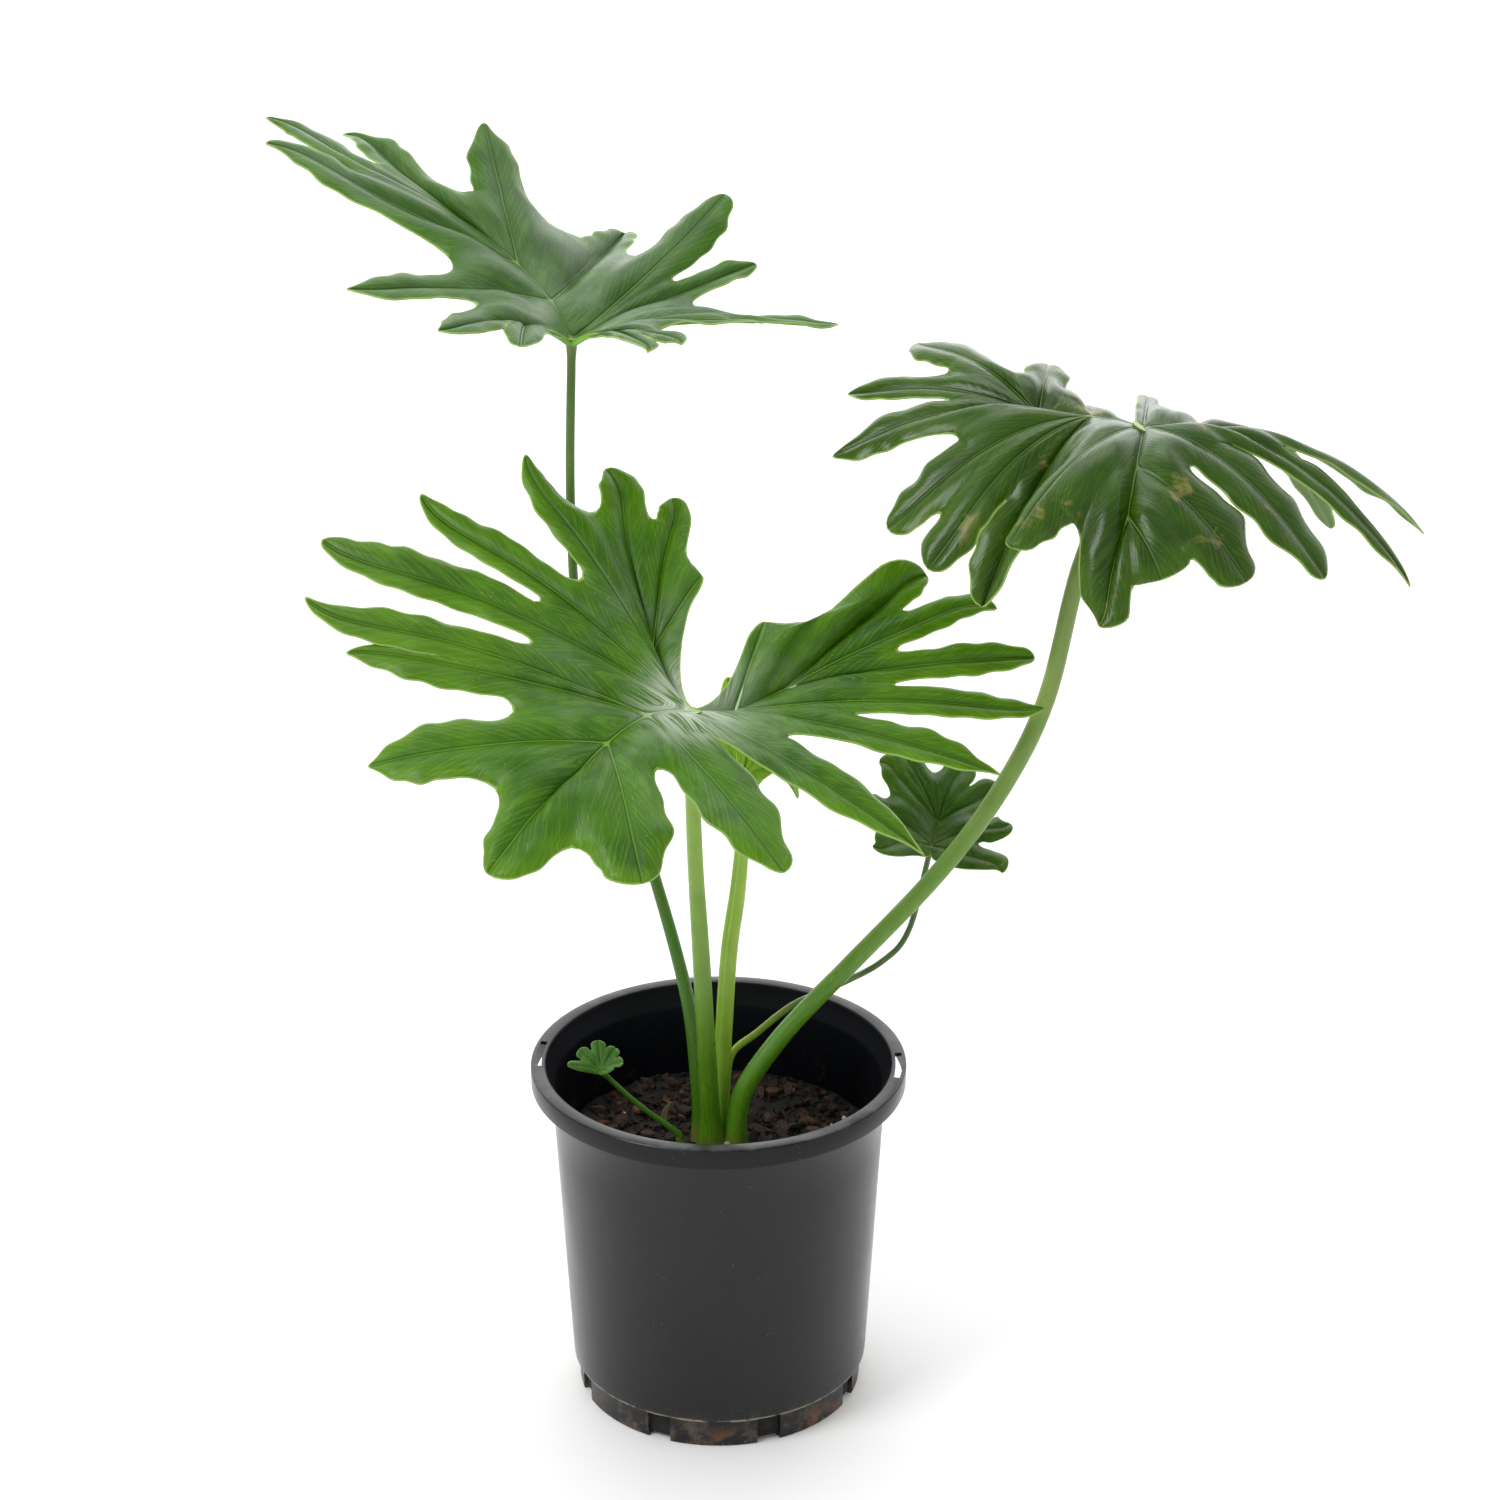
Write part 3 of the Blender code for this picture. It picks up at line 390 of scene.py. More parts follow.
def plastic(name, shine):
    """Black moulded plastic: satin, scuffed, dusty on the rim and dirty at the foot.

    The foot's seam is 0.0165 m up, and the top of the rim 0.192 m."""
    look = Look(name, IOR=1.5, Specular_IOR_Level=shine)
    height = look.height()
    blotches = look.noise(18, 4)
    streaks = look.noise(60, 3, place=look.stretched(1, 1, 0.12))
    look.base(blotches, (0.0040, 0.0042, 0.0050), (0.0085, 0.0088, 0.0105))
    look.tint(streaks.span(0.62, 0.80, 0, 0.22), (0.045, 0.047, 0.052))
    low = height.span(0.003, 0.026, 1, 0)
    seam = look.math("ABSOLUTE", height - 0.0165).span(0.0004, 0.0022, 1, 0)
    dirt = look.math("MAXIMUM", low, seam) * look.noise(110, 5, 0.7).span(0.45, 0.68)
    look.tint(dirt * 0.40, (0.24, 0.17, 0.11))
    crust = seam * look.noise(70, 4, 0.7).span(0.40, 0.56, 0, 0.80)
    look.tint(crust, (0.46, 0.40, 0.31))
    stain = look.noise(42, 3).span(0.57, 0.67, 0, 0.38) * height.span(0.002, 0.015, 1, 0)
    look.tint(stain, (0.30, 0.13, 0.045))
    dust = height.span(0.1912, 0.1919) * look.noise(34, 5, 0.65).span(0.47, 0.62, 0, 0.4)
    look.tint(dust, (0.09, 0.095, 0.10))
    specks = look.cells(520).span(0.05, 0.10, 1, 0) * look.noise(45, 2).span(0.58, 0.66)
    look.tint(specks, (0.32, 0.29, 0.25))
    roughness = blotches.span(0.3, 0.7, 0.20, 0.31) + dirt * 0.4
    grain = look.bump(look.noise(1500, 2), 0.10, 0.0002)
    return look.finish(roughness, look.bump(streaks, 0.12, 0.0006, grain))


def bark(name, dark, middle, bright):
    """Composted bark: red-brown flakes, each of its own tone, with fibres along it."""
    look = Look(name)
    tone = look.attribute("tone")
    fibres = look.noise(260, 6, 0.7, place=look.stretched(1, 0.35, 1), turn=0.6)
    coarse = look.noise(70, 4)
    look.base(tone.span(0.1, 0.75), dark, middle)
    look.tint(tone.span(0.80, 1.0), bright)
    look.tint(fibres.span(0.35, 0.75, 0, 0.6), dark)
    look.tint(coarse.span(0.5, 0.8, 0, 0.30), (0.085, 0.052, 0.040))
    return look.finish(coarse.span(0.3, 0.7, 0.72, 0.95), look.bump(fibres, 0.9, 0.0012))


def grained(name, roughness, scale, detail, colours, relief, squash=1.0):
    """Two colours mixed by one fine noise, which is also the relief.

    A squash under 1 draws the noise out along the height."""
    look = Look(name, Roughness=roughness)
    grain = look.noise(scale, detail, place=look.stretched(1, 1, squash))
    look.base(grain, *colours)
    return look.finish(None, look.bump(grain, *relief))


def stalk(name, spec):
    """A smooth petiole: deep green at its foot, partly as painted shade down in the pot, paler above,
    with streaks and lenticels along it.
    """
    look = Look(name, Subsurface_Weight=0.12, Subsurface_Scale=0.002, Specular_IOR_Level=0.4)
    along, around, length = map(look.attribute, ("along", "around", "length"))
    streaks = look.noise(1.6, 5, 0.6, place=look.joined(around * 9.0, length * 0.06, 3.0))
    blotches = look.noise(55, 3)
    look.base(along.span(*spec.turns), spec.low, spec.high)
    look.tint(streaks.span(0.35, 0.7, 0, 0.40), spec.edge)
    look.tint(blotches.span(0.4, 0.75, 0, 0.25), spec.low)
    specks = look.cells(700, place=look.stretched(1, 1, 0.4)).span(0.07, 0.13, 0.5, 0)
    look.tint(specks, (0.42, 0.52, 0.22))
    look.tint(along.span(0.955, 1.0, 0, 0.7), (0.34, 0.48, 0.14))
    look.tint(length.span(2, 14, 0.5, 0), (0.16, 0.10, 0.04))
    return look.finish(blotches.span(0.3, 0.7, 0.26, 0.38), look.bump(streaks, 0.25, 0.0007))


# deep and bright are the blade's two greens, tip is its colour towards the margins and hub the pale
# colour laid in streaks near its attachment as a painted sheen, and one of its ribs' two colours,
# specks and blotches are how much yellow it has, wax how strong a pale painted sheen over its middle
# is, gloss is its roughness and shine the strength of its highlights
Green = namedtuple("Green", "deep bright tip hub specks blotches wax gloss shine")
GREENS = {
    "leaf_front": Green((0.022, 0.088, 0.001), (0.060, 0.175, 0.002), (0.150, 0.320, 0.005),
                        (0.70, 0.74, 0.66), 0.45, 0.05, 0.32, 0.36, 0.24),
    "leaf_upper_left": Green((0.018, 0.070, 0.005), (0.046, 0.120, 0.013), (0.100, 0.24, 0.012),
                             (0.10, 0.20, 0.05), 0.20, 0.0, 0.20, 0.38, 0.25),
    "leaf_right": Green((0.012, 0.040, 0.001), (0.032, 0.088, 0.002), (0.080, 0.170, 0.004),
                        (0.07, 0.12, 0.06), 0.15, 0.50, 0.0, 0.21, 0.27),
    "leaf_back": Green((0.018, 0.062, 0.001), (0.050, 0.130, 0.004), (0.100, 0.22, 0.008),
                       (0.12, 0.19, 0.05), 0.55, 0.35, 0.0, 0.30, 0.26),
    "leaf_new": Green((0.16, 0.36, 0.008), (0.29, 0.52, 0.020), (0.42, 0.66, 0.05),
                      (0.38, 0.58, 0.10), 0.10, 0.0, 0.0, 0.40, 0.40),
    "leaf_seedling": Green((0.024, 0.095, 0.003), (0.055, 0.165, 0.006), (0.10, 0.26, 0.015),
                           (0.10, 0.24, 0.04), 0.10, 0.0, 0.0, 0.26, 0.28),
}
PALE_MARGIN = (0.34, 0.50, 0.12)
DRY = (0.42, 0.30, 0.10)


def scaled(colour, factor):
    return tuple(channel * factor for channel in colour)


def leaf_pattern(look, green, under):
    """One side of a blade. Its attributes are in millimetres on a full-grown leaf."""
    along, off, edge, hub, vein = map(look.attribute, ("along", "off", "edge", "hub", "vein"))
    clouds = look.noise(28, 4, 0.6)
    look.base(clouds.span(0.32, 0.70), green.deep, green.bright)
    look.tint(edge.span(0, 13, 1, 0) * hub.span(40, 120) * 0.40, green.tip)
    # hairline veins run forwards on both sides of each main vein
    slant = along - off * 2.3
    laterals = look.noise(1.0, 2, 0.4, place=look.joined(slant * 0.42, off * 0.05, 1.0))
    hairs = look.noise(1.0, 4, 0.6, place=look.joined(off * 0.75, along * 0.035, 5.0))
    away = vein.span(0.5, 3.0)
    look.tint(laterals.span(0.52, 0.59, 0, 0.28) * away, green.tip)
    look.tint(hairs.span(0.40, 0.60, 0.34, 0) * away, green.deep)
    # beside a main vein the blade is painted darker, a painted shade of the groove over the vein,
    # and the vein itself is a thin pale line
    look.tint(vein.span(0.4, 2.2, 0.42, 0), scaled(green.deep, 0.55))
    line = vein.span(0.15, 0.55, 0.60, 0) * along.span(0, 150, 1.0, 0.35)
    look.tint(line, scaled(green.tip, 1.3))
    # near the attachment the hub colour is laid in streaks: a painted sheen
    look.tint(hub.span(4, 42, 0.8, 0) * hairs.span(0.35, 0.6), green.hub)
    # a pale painted sheen in clouds over the middle of the blade
    painted_sheen_share = hub.span(25, 105, 1, 0) * look.noise(22, 5, 0.65).span(0.42, 0.66)
    look.tint(painted_sheen_share * green.wax, (0.30, 0.40, 0.26))
    if green.blotches:
        patches = look.noise(36, 5, 0.65, turn=0.4).span(0.60, 0.70, 0, green.blotches)
        look.tint(patches * edge.span(2, 9), (0.30, 0.25, 0.07))
    dots = look.cells(300).span(0.06, 0.12, 1, 0) * green.specks
    look.tint(dots * look.noise(60, 2).span(0.5, 0.62), (0.48, 0.60, 0.22))
    look.tint(edge.span(0.3, 1.2, 0.75, 0), PALE_MARGIN)
    if under:
        look.tint(0.42, (0.24, 0.36, 0.15))
    relief = vein.span(0.0, 1.5) + hairs * 0.35 + laterals * 0.30
    normal = look.bump(relief, -0.5 if under else 0.55, 0.0009)
    normal = look.bump(look.noise(1100, 3, 0.6), 0.07, 0.0003, normal)
    roughness = clouds.span(0.3, 0.7, green.gloss - 0.05, green.gloss + 0.07)
    roughness += 0.18 if under else hub.span(5, 45, -0.06, 0)
    return look.finish(roughness, normal)


def blade_looks(name):
    """A blade's four materials: its upper side, its underside, its margin and its ribs."""
    green = GREENS[name]
    top = leaf_pattern(Look(f"{name}_top", Specular_IOR_Level=green.shine), green, False)
    bottom = leaf_pattern(Look(f"{name}_underside", Specular_IOR_Level=0.3), green, True)
    margin = Look(f"{name}_margin", Roughness=0.45)
    margin.base(margin.noise(120, 3), PALE_MARGIN, green.tip)
    margin.tint(margin.noise(40).span(0.60, 0.70, 0, 0.5), DRY)
    rib = Look(f"{name}_rib", Roughness=0.42)
    rib.base(rib.noise(90, 3), scaled(green.tip, 2.0), green.hub)
    relief = rib.bump(rib.noise(600, 3), 0.2, 0.0004)
    return top, bottom, margin.finish(), rib.finish(None, relief)


def crown_look():
    """Old brown tissue that is greener at its top."""
    look = Look("crown_tissue", Roughness=0.5)
    rough = look.noise(160, 5, 0.65)
    top = CROWN_TOP / 1000
    greener = look.height().span(top - 0.004, top + 0.006)
    look.base(greener, (0.055, 0.030, 0.016), (0.10, 0.17, 0.02))
    look.tint(rough.span(0.45, 0.65, 0, 0.6), (0.16, 0.10, 0.045))
    return look.finish(None, look.bump(rough, 0.6, 0.0012))


def studio_floor():
    """A white sweep that stays white where the lamps' light no longer reaches."""
    look = Look("studio_floor", Roughness=0.9, Emission_Color=(1, 1, 1))
    away = look.node("ShaderNodeVectorMath", (look.place,), "Value", operation="LENGTH")
    look.feed(look.shader.inputs["Emission Strength"], away.span(1.2, 3.5, 0, 0.35))
    look.base(look.noise(3, 3), (0.95, 0.95, 0.95), (0.97, 0.97, 0.97))
    return look.finish()


# ---------------------------------------------------------------- objects


def placed(name, data):
    """A new object in the scene."""
    made = bpy.data.objects.new(name, data)
    bpy.context.scene.collection.objects.link(made)
    return made


def modify(made, kind, **settings):
    """Adds a modifier to an object."""
    modifier = made.modifiers.new(kind.lower(), kind)
    for key, value in settings.items():
        setattr(modifier, key, value)


def set_attributes(mesh, attributes):
    for key, values in attributes.items():
        layer = mesh.attributes.new(key, "FLOAT", "POINT")
        layer.data.foreach_set("value", np.array(values, np.float32))


def mesh_object(name, points, faces, sharp=40, attributes=None):
    """An object from points in millimetres, with its faces turned outwards and shaded smooth."""
    mesh = bpy.data.meshes.new(name)
    mesh.from_pydata((np.array(points, float) * 0.001).tolist(), [], faces)
    tidy = bmesh.new()
    tidy.from_mesh(mesh)
    bmesh.ops.recalc_face_normals(tidy, faces=tidy.faces)
    tidy.to_mesh(mesh)
    tidy.free()
    mesh.shade_smooth()
    mesh.set_sharp_from_angle(angle=math.radians(sharp))
    set_attributes(mesh, attributes or {})
    return placed(name, mesh)


def stand_in(made, slot, *nodes):
    """Hangs a finished piece under the root body, and hides the CAD nodes that it takes the place of, if
    any.
    """
    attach(made, "root")
    if nodes:
        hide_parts(*nodes)


def apply_modifiers(made):
    """Turns what the modifiers give into the object's own mesh."""
    graph = bpy.context.evaluated_depsgraph_get()
    mesh = bpy.data.meshes.new_from_object(made.evaluated_get(graph))
    made.modifiers.clear()
    made.data = mesh


# ---------------------------------------------------------------- shapes


def smooth_route(points, steps):
    """A Catmull-Rom curve through the points, with so many steps to each span."""
    points = np.array(points, float)
    ends = np.vstack([2 * points[0] - points[1], points, 2 * points[-1] - points[-2]])
    curve = []
    for before, start, end, after in zip(ends, ends[1:], ends[2:], ends[3:]):
        slope = end - before
        bend = 2 * before - 5 * start + 4 * end - after
        turn = 3 * start - before - 3 * end + after
        for t in np.arange(steps) / steps:
            curve.append(start + 0.5 * (slope * t + bend * t**2 + turn * t**3))
    curve.append(points[-1])
    return np.array(curve)


def unit(vector):
    return vector / max(np.linalg.norm(vector), 1e-9)


def turns(count):
    """Evenly spaced angles round a circle, in radians."""
    return np.arange(count) * 2 * math.pi / count


def band(low, high, sides):
    """The faces between two rings of points, which start at the numbers low and high."""
    return [[low + k, low + (k + 1) % sides, high + (k + 1) % sides, high + k] for k in range(sides)]


def capped(count, sides):
    """The faces of a closed body: one end, rings of points with so many sides, and the other end."""
    last = count - 1
    faces = []
    for k in range(sides):
        after = (k + 1) % sides
        faces.append([0, 1 + k, 1 + after])
        for low in range(1, last - sides, sides):
            faces.append([low + k, low + sides + k, low + sides + after, low + after])
        faces.append([last, last - sides + after, last - sides + k])
    return faces


def circle(radius, height, sides):
    """A ring of points about the vertical axis."""
    return [(radius * math.cos(turn), radius * math.sin(turn), height) for turn in turns(sides)]


def turned(profile, sides):
    """A solid turned about the vertical axis. The (radius, height) pairs begin and end on it."""
    (_, bottom), *rings, (_, top) = profile
    points = [(0, 0, bottom), (0, 0, top)]
    for radius, height in rings:
        points += circle(radius, height, sides)
    faces = []
    last = 2 + (len(rings) - 1) * sides
    for k in range(sides):
        after = (k + 1) % sides
        faces.append([0, 2 + after, 2 + k])
        faces.append([1, last + k, last + after])
        for low in range(2, last, sides):
            faces.append([low + k, low + after, low + sides + after, low + sides + k])
    return points, faces


def curved_block(radii, heights, middle, spread, steps):
    """A block between two radii and two heights, spread evenly about an angle in radians."""
    inner, outer = radii
    low, high = heights
    corners = [(inner, low), (outer, low), (outer, high), (inner, high)]
    points = []
    for turn in np.linspace(middle - spread / 2, middle + spread / 2, steps + 1):
        across, along = math.cos(turn), math.sin(turn)
        points += [(radius * across, radius * along, height) for radius, height in corners]
    faces = [[0, 1, 2, 3], list(range(4 * steps, 4 * steps + 4))]
    for step in range(0, 4 * steps, 4):
        faces += band(step, step + 4, 4)
    return points, faces


def lump(draw, centre, size, turn, roughness=0.25):
    """A rough flake: three uneven rings of corners, one above the other, bent up at their ends."""
    length, width, thickness = size
    corners = 6
    points = []
    for level, taper in ((-0.5, 0.72), (-0.1, 1.0), (0.42, 0.86)):
        for corner in turns(corners):
            reach = taper * (1 - roughness * draw.random())
            x = length / 2 * reach * math.cos(corner + 0.3 * draw.random())
            y = width / 2 * reach * math.sin(corner + 0.3 * draw.random())
            rise = thickness * (level + 0.18 * (draw.random() - 0.5)) + FLAKE_BEND * x * x
            points.append((x, y, rise))
    points = np.array(points) @ turn.T + centre
    faces = [list(range(corners))[::-1], list(range(2 * corners, 3 * corners))]
    faces += band(0, corners, corners) + band(corners, 2 * corners, corners)
    return points, faces


def turn_matrix(yaw, pitch, roll):
    cy, sy, cp, sp, cr, sr = (f(a) for a in (yaw, pitch, roll) for f in (math.cos, math.sin))
    about_z = np.array([[cy, -sy, 0], [sy, cy, 0], [0, 0, 1]])
    about_y = np.array([[cp, 0, sp], [0, 1, 0], [-sp, 0, cp]])
    about_x = np.array([[1, 0, 0], [0, cr, -sr], [0, sr, cr]])
    return about_z @ about_y @ about_x


class Heap:
    """Several closed bodies kept in one mesh, each with its own tone."""

    def __init__(self):
        self.points, self.faces, self.tones = [], [], []

    def add(self, points, faces, tone=0.0):
        start = len(self.points)
        self.points += list(points)
        self.faces += [[start + k for k in face] for face in faces]
        self.tones += [tone] * len(points)

    def made(self, name, look, sharp=25):
        result = mesh_object(name, self.points, self.faces, sharp, {"tone": self.tones})
        result.data.materials.append(look)
        return result


# ---------------------------------------------------------------- pot, mix and crown


def wall_radius(height):
    """Radius of the wall's outer face at a height."""
    share = (POT_HEIGHT - SHOULDER - height) / (POT_HEIGHT - SHOULDER - FOOT_HEIGHT)
    return RIM_RADIUS - SHOULDER_INSET - WALL_DRAFT * share


def foot_radius():
    return wall_radius(FOOT_HEIGHT) - FOOT_INSET


def mix_radius():
    return wall_radius(MIX_TOP) - WALL - GAP


def pot_profile():
    """The pot's section, with its rolled rim, moulded rings, seam and rounded edges.

    It starts in the middle of the floor and goes up the inside and down the outside. Each row is a
    corner of the plain pot, and how far the section's points lie from it, outwards and up. The lone
    heights only cut the wall into shorter faces."""
    shoulder, skirt = POT_HEIGHT - SHOULDER, POT_HEIGHT - RIM_SKIRT
    neck, opening = wall_radius(shoulder), RIM_RADIUS - RIM_LEDGE
    seam, foot = wall_radius(FOOT_HEIGHT), foot_radius()
    corners = [
        (foot - WALL, FLOOR, (-2, 0), (0, 2)),
        (foot - WALL, FOOT_HEIGHT, (0, -1)),
        (seam - WALL, FOOT_HEIGHT, (0, 2)),
        *((wall_radius(height) - WALL, height, (0, 0)) for height in (40, 80, 120, 150)),
        (neck - WALL, shoulder, (0, 0), (0.8, 2)),
        (opening, POT_HEIGHT, (-0.8, -4), (-0.2, -1.4), (0, -0.7), (0.3, -0.2), (0.9, 0)),
        (RIM_RADIUS, POT_HEIGHT, (-1.3, 0), (-0.6, -0.15), (-0.15, -0.6), (0, -1.3)),
        (RIM_RADIUS, skirt, (-0.1, 1.0), (-0.35, 0.3), (-0.9, 0)),
        (RIM_RADIUS - WALL, skirt, (0.2, 0.1), (0, 0.5)),
        (RIM_RADIUS - WALL, POT_HEIGHT - WALL, (0, -0.8), (-0.8, 0)),
        (opening + WALL, POT_HEIGHT - WALL, (0.6, -0.5), (-0.4, -2.5)),
        (neck, shoulder, (0.6, 1), (0, 0)),
        *((wall_radius(height), height, (0, 0)) for height in (150, 120, 90, 60, 35, 22)),
        (seam, FOOT_HEIGHT, (0, 0.9), (-0.1, 0.3), (-0.6, -0.1)),
        (foot, FOOT_HEIGHT, (0.6, -0.5), (0.1, -0.9), (0, -1.6)),
        (foot, 0, (-0.1, 2.0), (-0.3, 0.5), (-0.9, 0)),
    ]
    points = [(radius + out, height + up) for radius, height, *moves in corners for out, up in moves]
    return [(0, FLOOR), *points, (0, 0)]


def build_pot():
    pot = mesh_object("pot_shell", *turned(pot_profile(), POT_SIDES), sharp=35)
    blocks = Heap()
    slot_radius = RIM_RADIUS - WALL - (RIM_LEDGE - 2 * WALL) / 2
    edges = (slot_radius - SLOT_WIDTH / 2, slot_radius + SLOT_WIDTH / 2)
    heights = (POT_HEIGHT - RIM_SKIRT / 2, POT_HEIGHT + 1)
    for turn in turns(2) + math.radians(SLOT_TURN):
        blocks.add(*curved_block(edges, heights, turn, SLOT_LENGTH / slot_radius, 16))
    edges = (foot_radius() - NOTCH_DEPTH, foot_radius() + FOOT_INSET)
    heights = (-1, FOOT_HEIGHT - WALL)
    for turn in turns(NOTCHES) + math.radians(NOTCH_TURN - 90):
        blocks.add(*curved_block(edges, heights, turn, NOTCH_WIDTH / foot_radius(), 6))
    cutter = mesh_object("cutter", blocks.points, blocks.faces)
    modify(pot, "BOOLEAN", operation="DIFFERENCE", solver="EXACT", object=cutter)
    apply_modifiers(pot)
    bpy.data.objects.remove(cutter)
    pot.data.shade_smooth()
    pot.data.set_sharp_from_angle(angle=math.radians(32))
    pot.data.materials.clear()
    # the pot's inside takes the darker, bluer copy of the plastic, which is painted shade
    for look in (plastic("black_plastic", 0.34), shaded_inside_plastic(), plastic("black_rim", 0.20)):
        pot.data.materials.append(look)
    skirt = (POT_HEIGHT - RIM_SKIRT - 0.1) / 1000
    for face in pot.data.polygons:
        out = face.center.x * face.normal.x + face.center.y * face.normal.y
        inward = out < -0.3 * math.hypot(face.center.x, face.center.y)
        face.material_index = 1 if inward else 2 if face.center.z > skirt else 0
    stand_in(pot, "black_plastic", "pot")


def mix_height(x, y):
    """The mix's surface: uneven, with humps and hollows of two sizes."""
    place = Vector((x / 19, y / 19, 0.3))
    rough = noise.noise(place) + 0.5 * noise.noise(place * 3.1)
    return MIX_TOP - MIX_SINK + MIX_UNEVEN * rough


def build_mix():
    """The body of the mix: an uneven top, and sides that follow the pot's inside."""
    rings, sides = 26, 96
    rim = mix_radius()
    inner_foot = foot_radius() - WALL - GAP
    points = [(0, 0, mix_height(0, 0))]
    for ring in range(1, rings + 1):
        points += [(x, y, mix_height(x, y)) for x, y, _ in circle(rim * ring / rings, 0, sides)]
    for height in (80, 21):
        points += circle(wall_radius(height) - WALL - GAP, height, sides)
    for height in (FOOT_HEIGHT, FLOOR + GAP):
        points += circle(inner_foot, height, sides)
    points.append((0, 0, FLOOR + GAP))
    tones = [0.25 + 0.3 * noise.noise(Vector(point) / 6) for point in points]
    mix = mesh_object("mix_body", points, capped(len(points), sides), 60, {"tone": tones})
    mix.data.materials.append(bark("bark_mix", *MIX_COLOURS))
    stand_in(mix, "bark_mix", "potting_mix")


def build_litter(draw):
    """Flakes and crumbs of bark all over the mix."""
    heap = Heap()
    inner, outer = CROWN_RADIUS + 1.5, mix_radius()
    for _ in range(LITTER):
        # most flakes are short, and the longest are 22 mm
        length = 5 + 17 * draw.random() ** 2
        limit = outer - length * 0.45
        radius = math.sqrt(inner**2 + (limit**2 - inner**2) * draw.random())
        turn = draw.uniform(0, 2 * math.pi)
        x, y = radius * math.cos(turn), CROWN_Y + radius * math.sin(turn)
        # the flakes are spread about the crown, so some have to be moved in from the wall
        if math.hypot(x, y) > limit:
            y -= 2 * CROWN_Y
        size = (length, length * draw.uniform(0.3, 0.65), 1.2 + 3.0 * draw.random())
        pose = turn_matrix(draw.uniform(0, 6.28), draw.gauss(0, 0.5), draw.gauss(0, 0.5))
        centre = np.array([x, y, mix_height(x, y) + draw.uniform(-0.4, 1.7)])
        heap.add(*lump(draw, centre, size, pose, 0.45), draw.random())
    for _ in range(CRUMBS):
        radius, turn = math.sqrt(draw.random()) * (outer - 2), draw.uniform(0, 2 * math.pi)
        x, y = radius * math.cos(turn), radius * math.sin(turn)
        size = [draw.uniform(0.8, 3.0) for _ in range(3)]
        pose = turn_matrix(*(draw.uniform(0, 6.28) for _ in range(3)))
        centre = np.array([x, y, mix_height(x, y) + draw.uniform(0.2, 1.6)])
        heap.add(*lump(draw, centre, size, pose), draw.random())
    litter = heap.made("bark_litter", bark("bark_litter", *LITTER_COLOURS))
    stand_in(litter, "bark_mix")


def build_chips(draw):
    """The large loose chips, each in the place of its CAD node."""
    look = bark("bark_chips", *CHIP_COLOURS)
    for node in sorted(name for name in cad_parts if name.startswith("bark_chip")):
        low, high = box_of(node)
        size = high - low
        yaw = 0 if size[0] > size[1] else math.pi / 2
        # an uneven flake reaches its full length at few corners, so it is made a little longer
        flat = (max(size[:2]) * 1.05, min(size[:2]) * 0.95, size[2] * 0.9)
        centre = (low + high) / 2 - [0, 0, 0.3]
        heap = Heap()
        heap.add(*lump(draw, centre, flat, turn_matrix(yaw, 0, 0), 0.30), draw.uniform(0.1, 1.0))
        chip = heap.made(f"{node}_flake", look)
        modify(chip, "BEVEL", width=0.0004, segments=2)
        stand_in(chip, "bark", node)


def build_perlite(draw):
    heap = Heap()
    for x, y, size in PERLITE:
        pose = turn_matrix(x, y, 0.4)
        centre = np.array([x, y, mix_height(x, y) + 2.4])
        heap.add(*lump(draw, centre, (size, size * 0.9, size * 0.8), pose, 0.15), 0.5)
    colours = (0.42, 0.38, 0.33), (0.68, 0.66, 0.62)
    bits = heap.made("perlite_bits", grained("perlite", 0.85, 900, 4, colours, (0.6, 0.0006)), 50)
    modify(bits, "SUBSURF", levels=1, render_levels=1)
    stand_in(bits, "bark_mix")


def build_crown():
    """The short stem: a knobbly dome of old leaf bases, with one pale round scar."""
    rings, sides = 10, 40
    top = CROWN_TOP - 0.4
    points = [(0, CROWN_Y, top)]
    for ring in range(1, rings + 1):
        share = ring / rings
        for turn in turns(sides):
            # two waves round the dome and a noise make it knobbly
            swell = 1 + 0.05 * math.sin(3 * turn + 1) + 0.03 * math.sin(7 * turn)
            radius = CROWN_RADIUS * 0.94 * math.sin(share * math.pi / 2) * swell
            x, y = radius * math.cos(turn), radius * math.sin(turn)
            drop = 12 * (1 - math.cos(share * math.pi / 2)) + 0.5 * noise.noise(Vector((x / 4, y / 4, 1)))
            points.append((x, CROWN_Y + y, top - drop))
    points.append((0, CROWN_Y, CROWN_TOP - 14))
    crown = mesh_object("stem_crown", points, capped(len(points), sides), 60)
    crown.data.materials.append(crown_look())
    stand_in(crown, "crown_tissue", "crown")
    heap = Heap()
    facing = turn_matrix(0, 0, math.radians(72))
    centre = np.array([4.5, CROWN_Y - 13.2, CROWN_TOP - 0.5])
    heap.add(*lump(random.Random(3), centre, (4.6, 4.6, 1.6), facing, 0.05))
    colours = (0.48, 0.42, 0.24), (0.30, 0.22, 0.10)
    scar = heap.made("old_leaf_scar", grained("leaf_scar", 0.6, 500, 4, colours, (0.5, 0.0006)), 60)
    modify(scar, "SUBSURF", levels=2, render_levels=2)
    stand_in(scar, "crown_tissue")


# ---------------------------------------------------------------- petioles


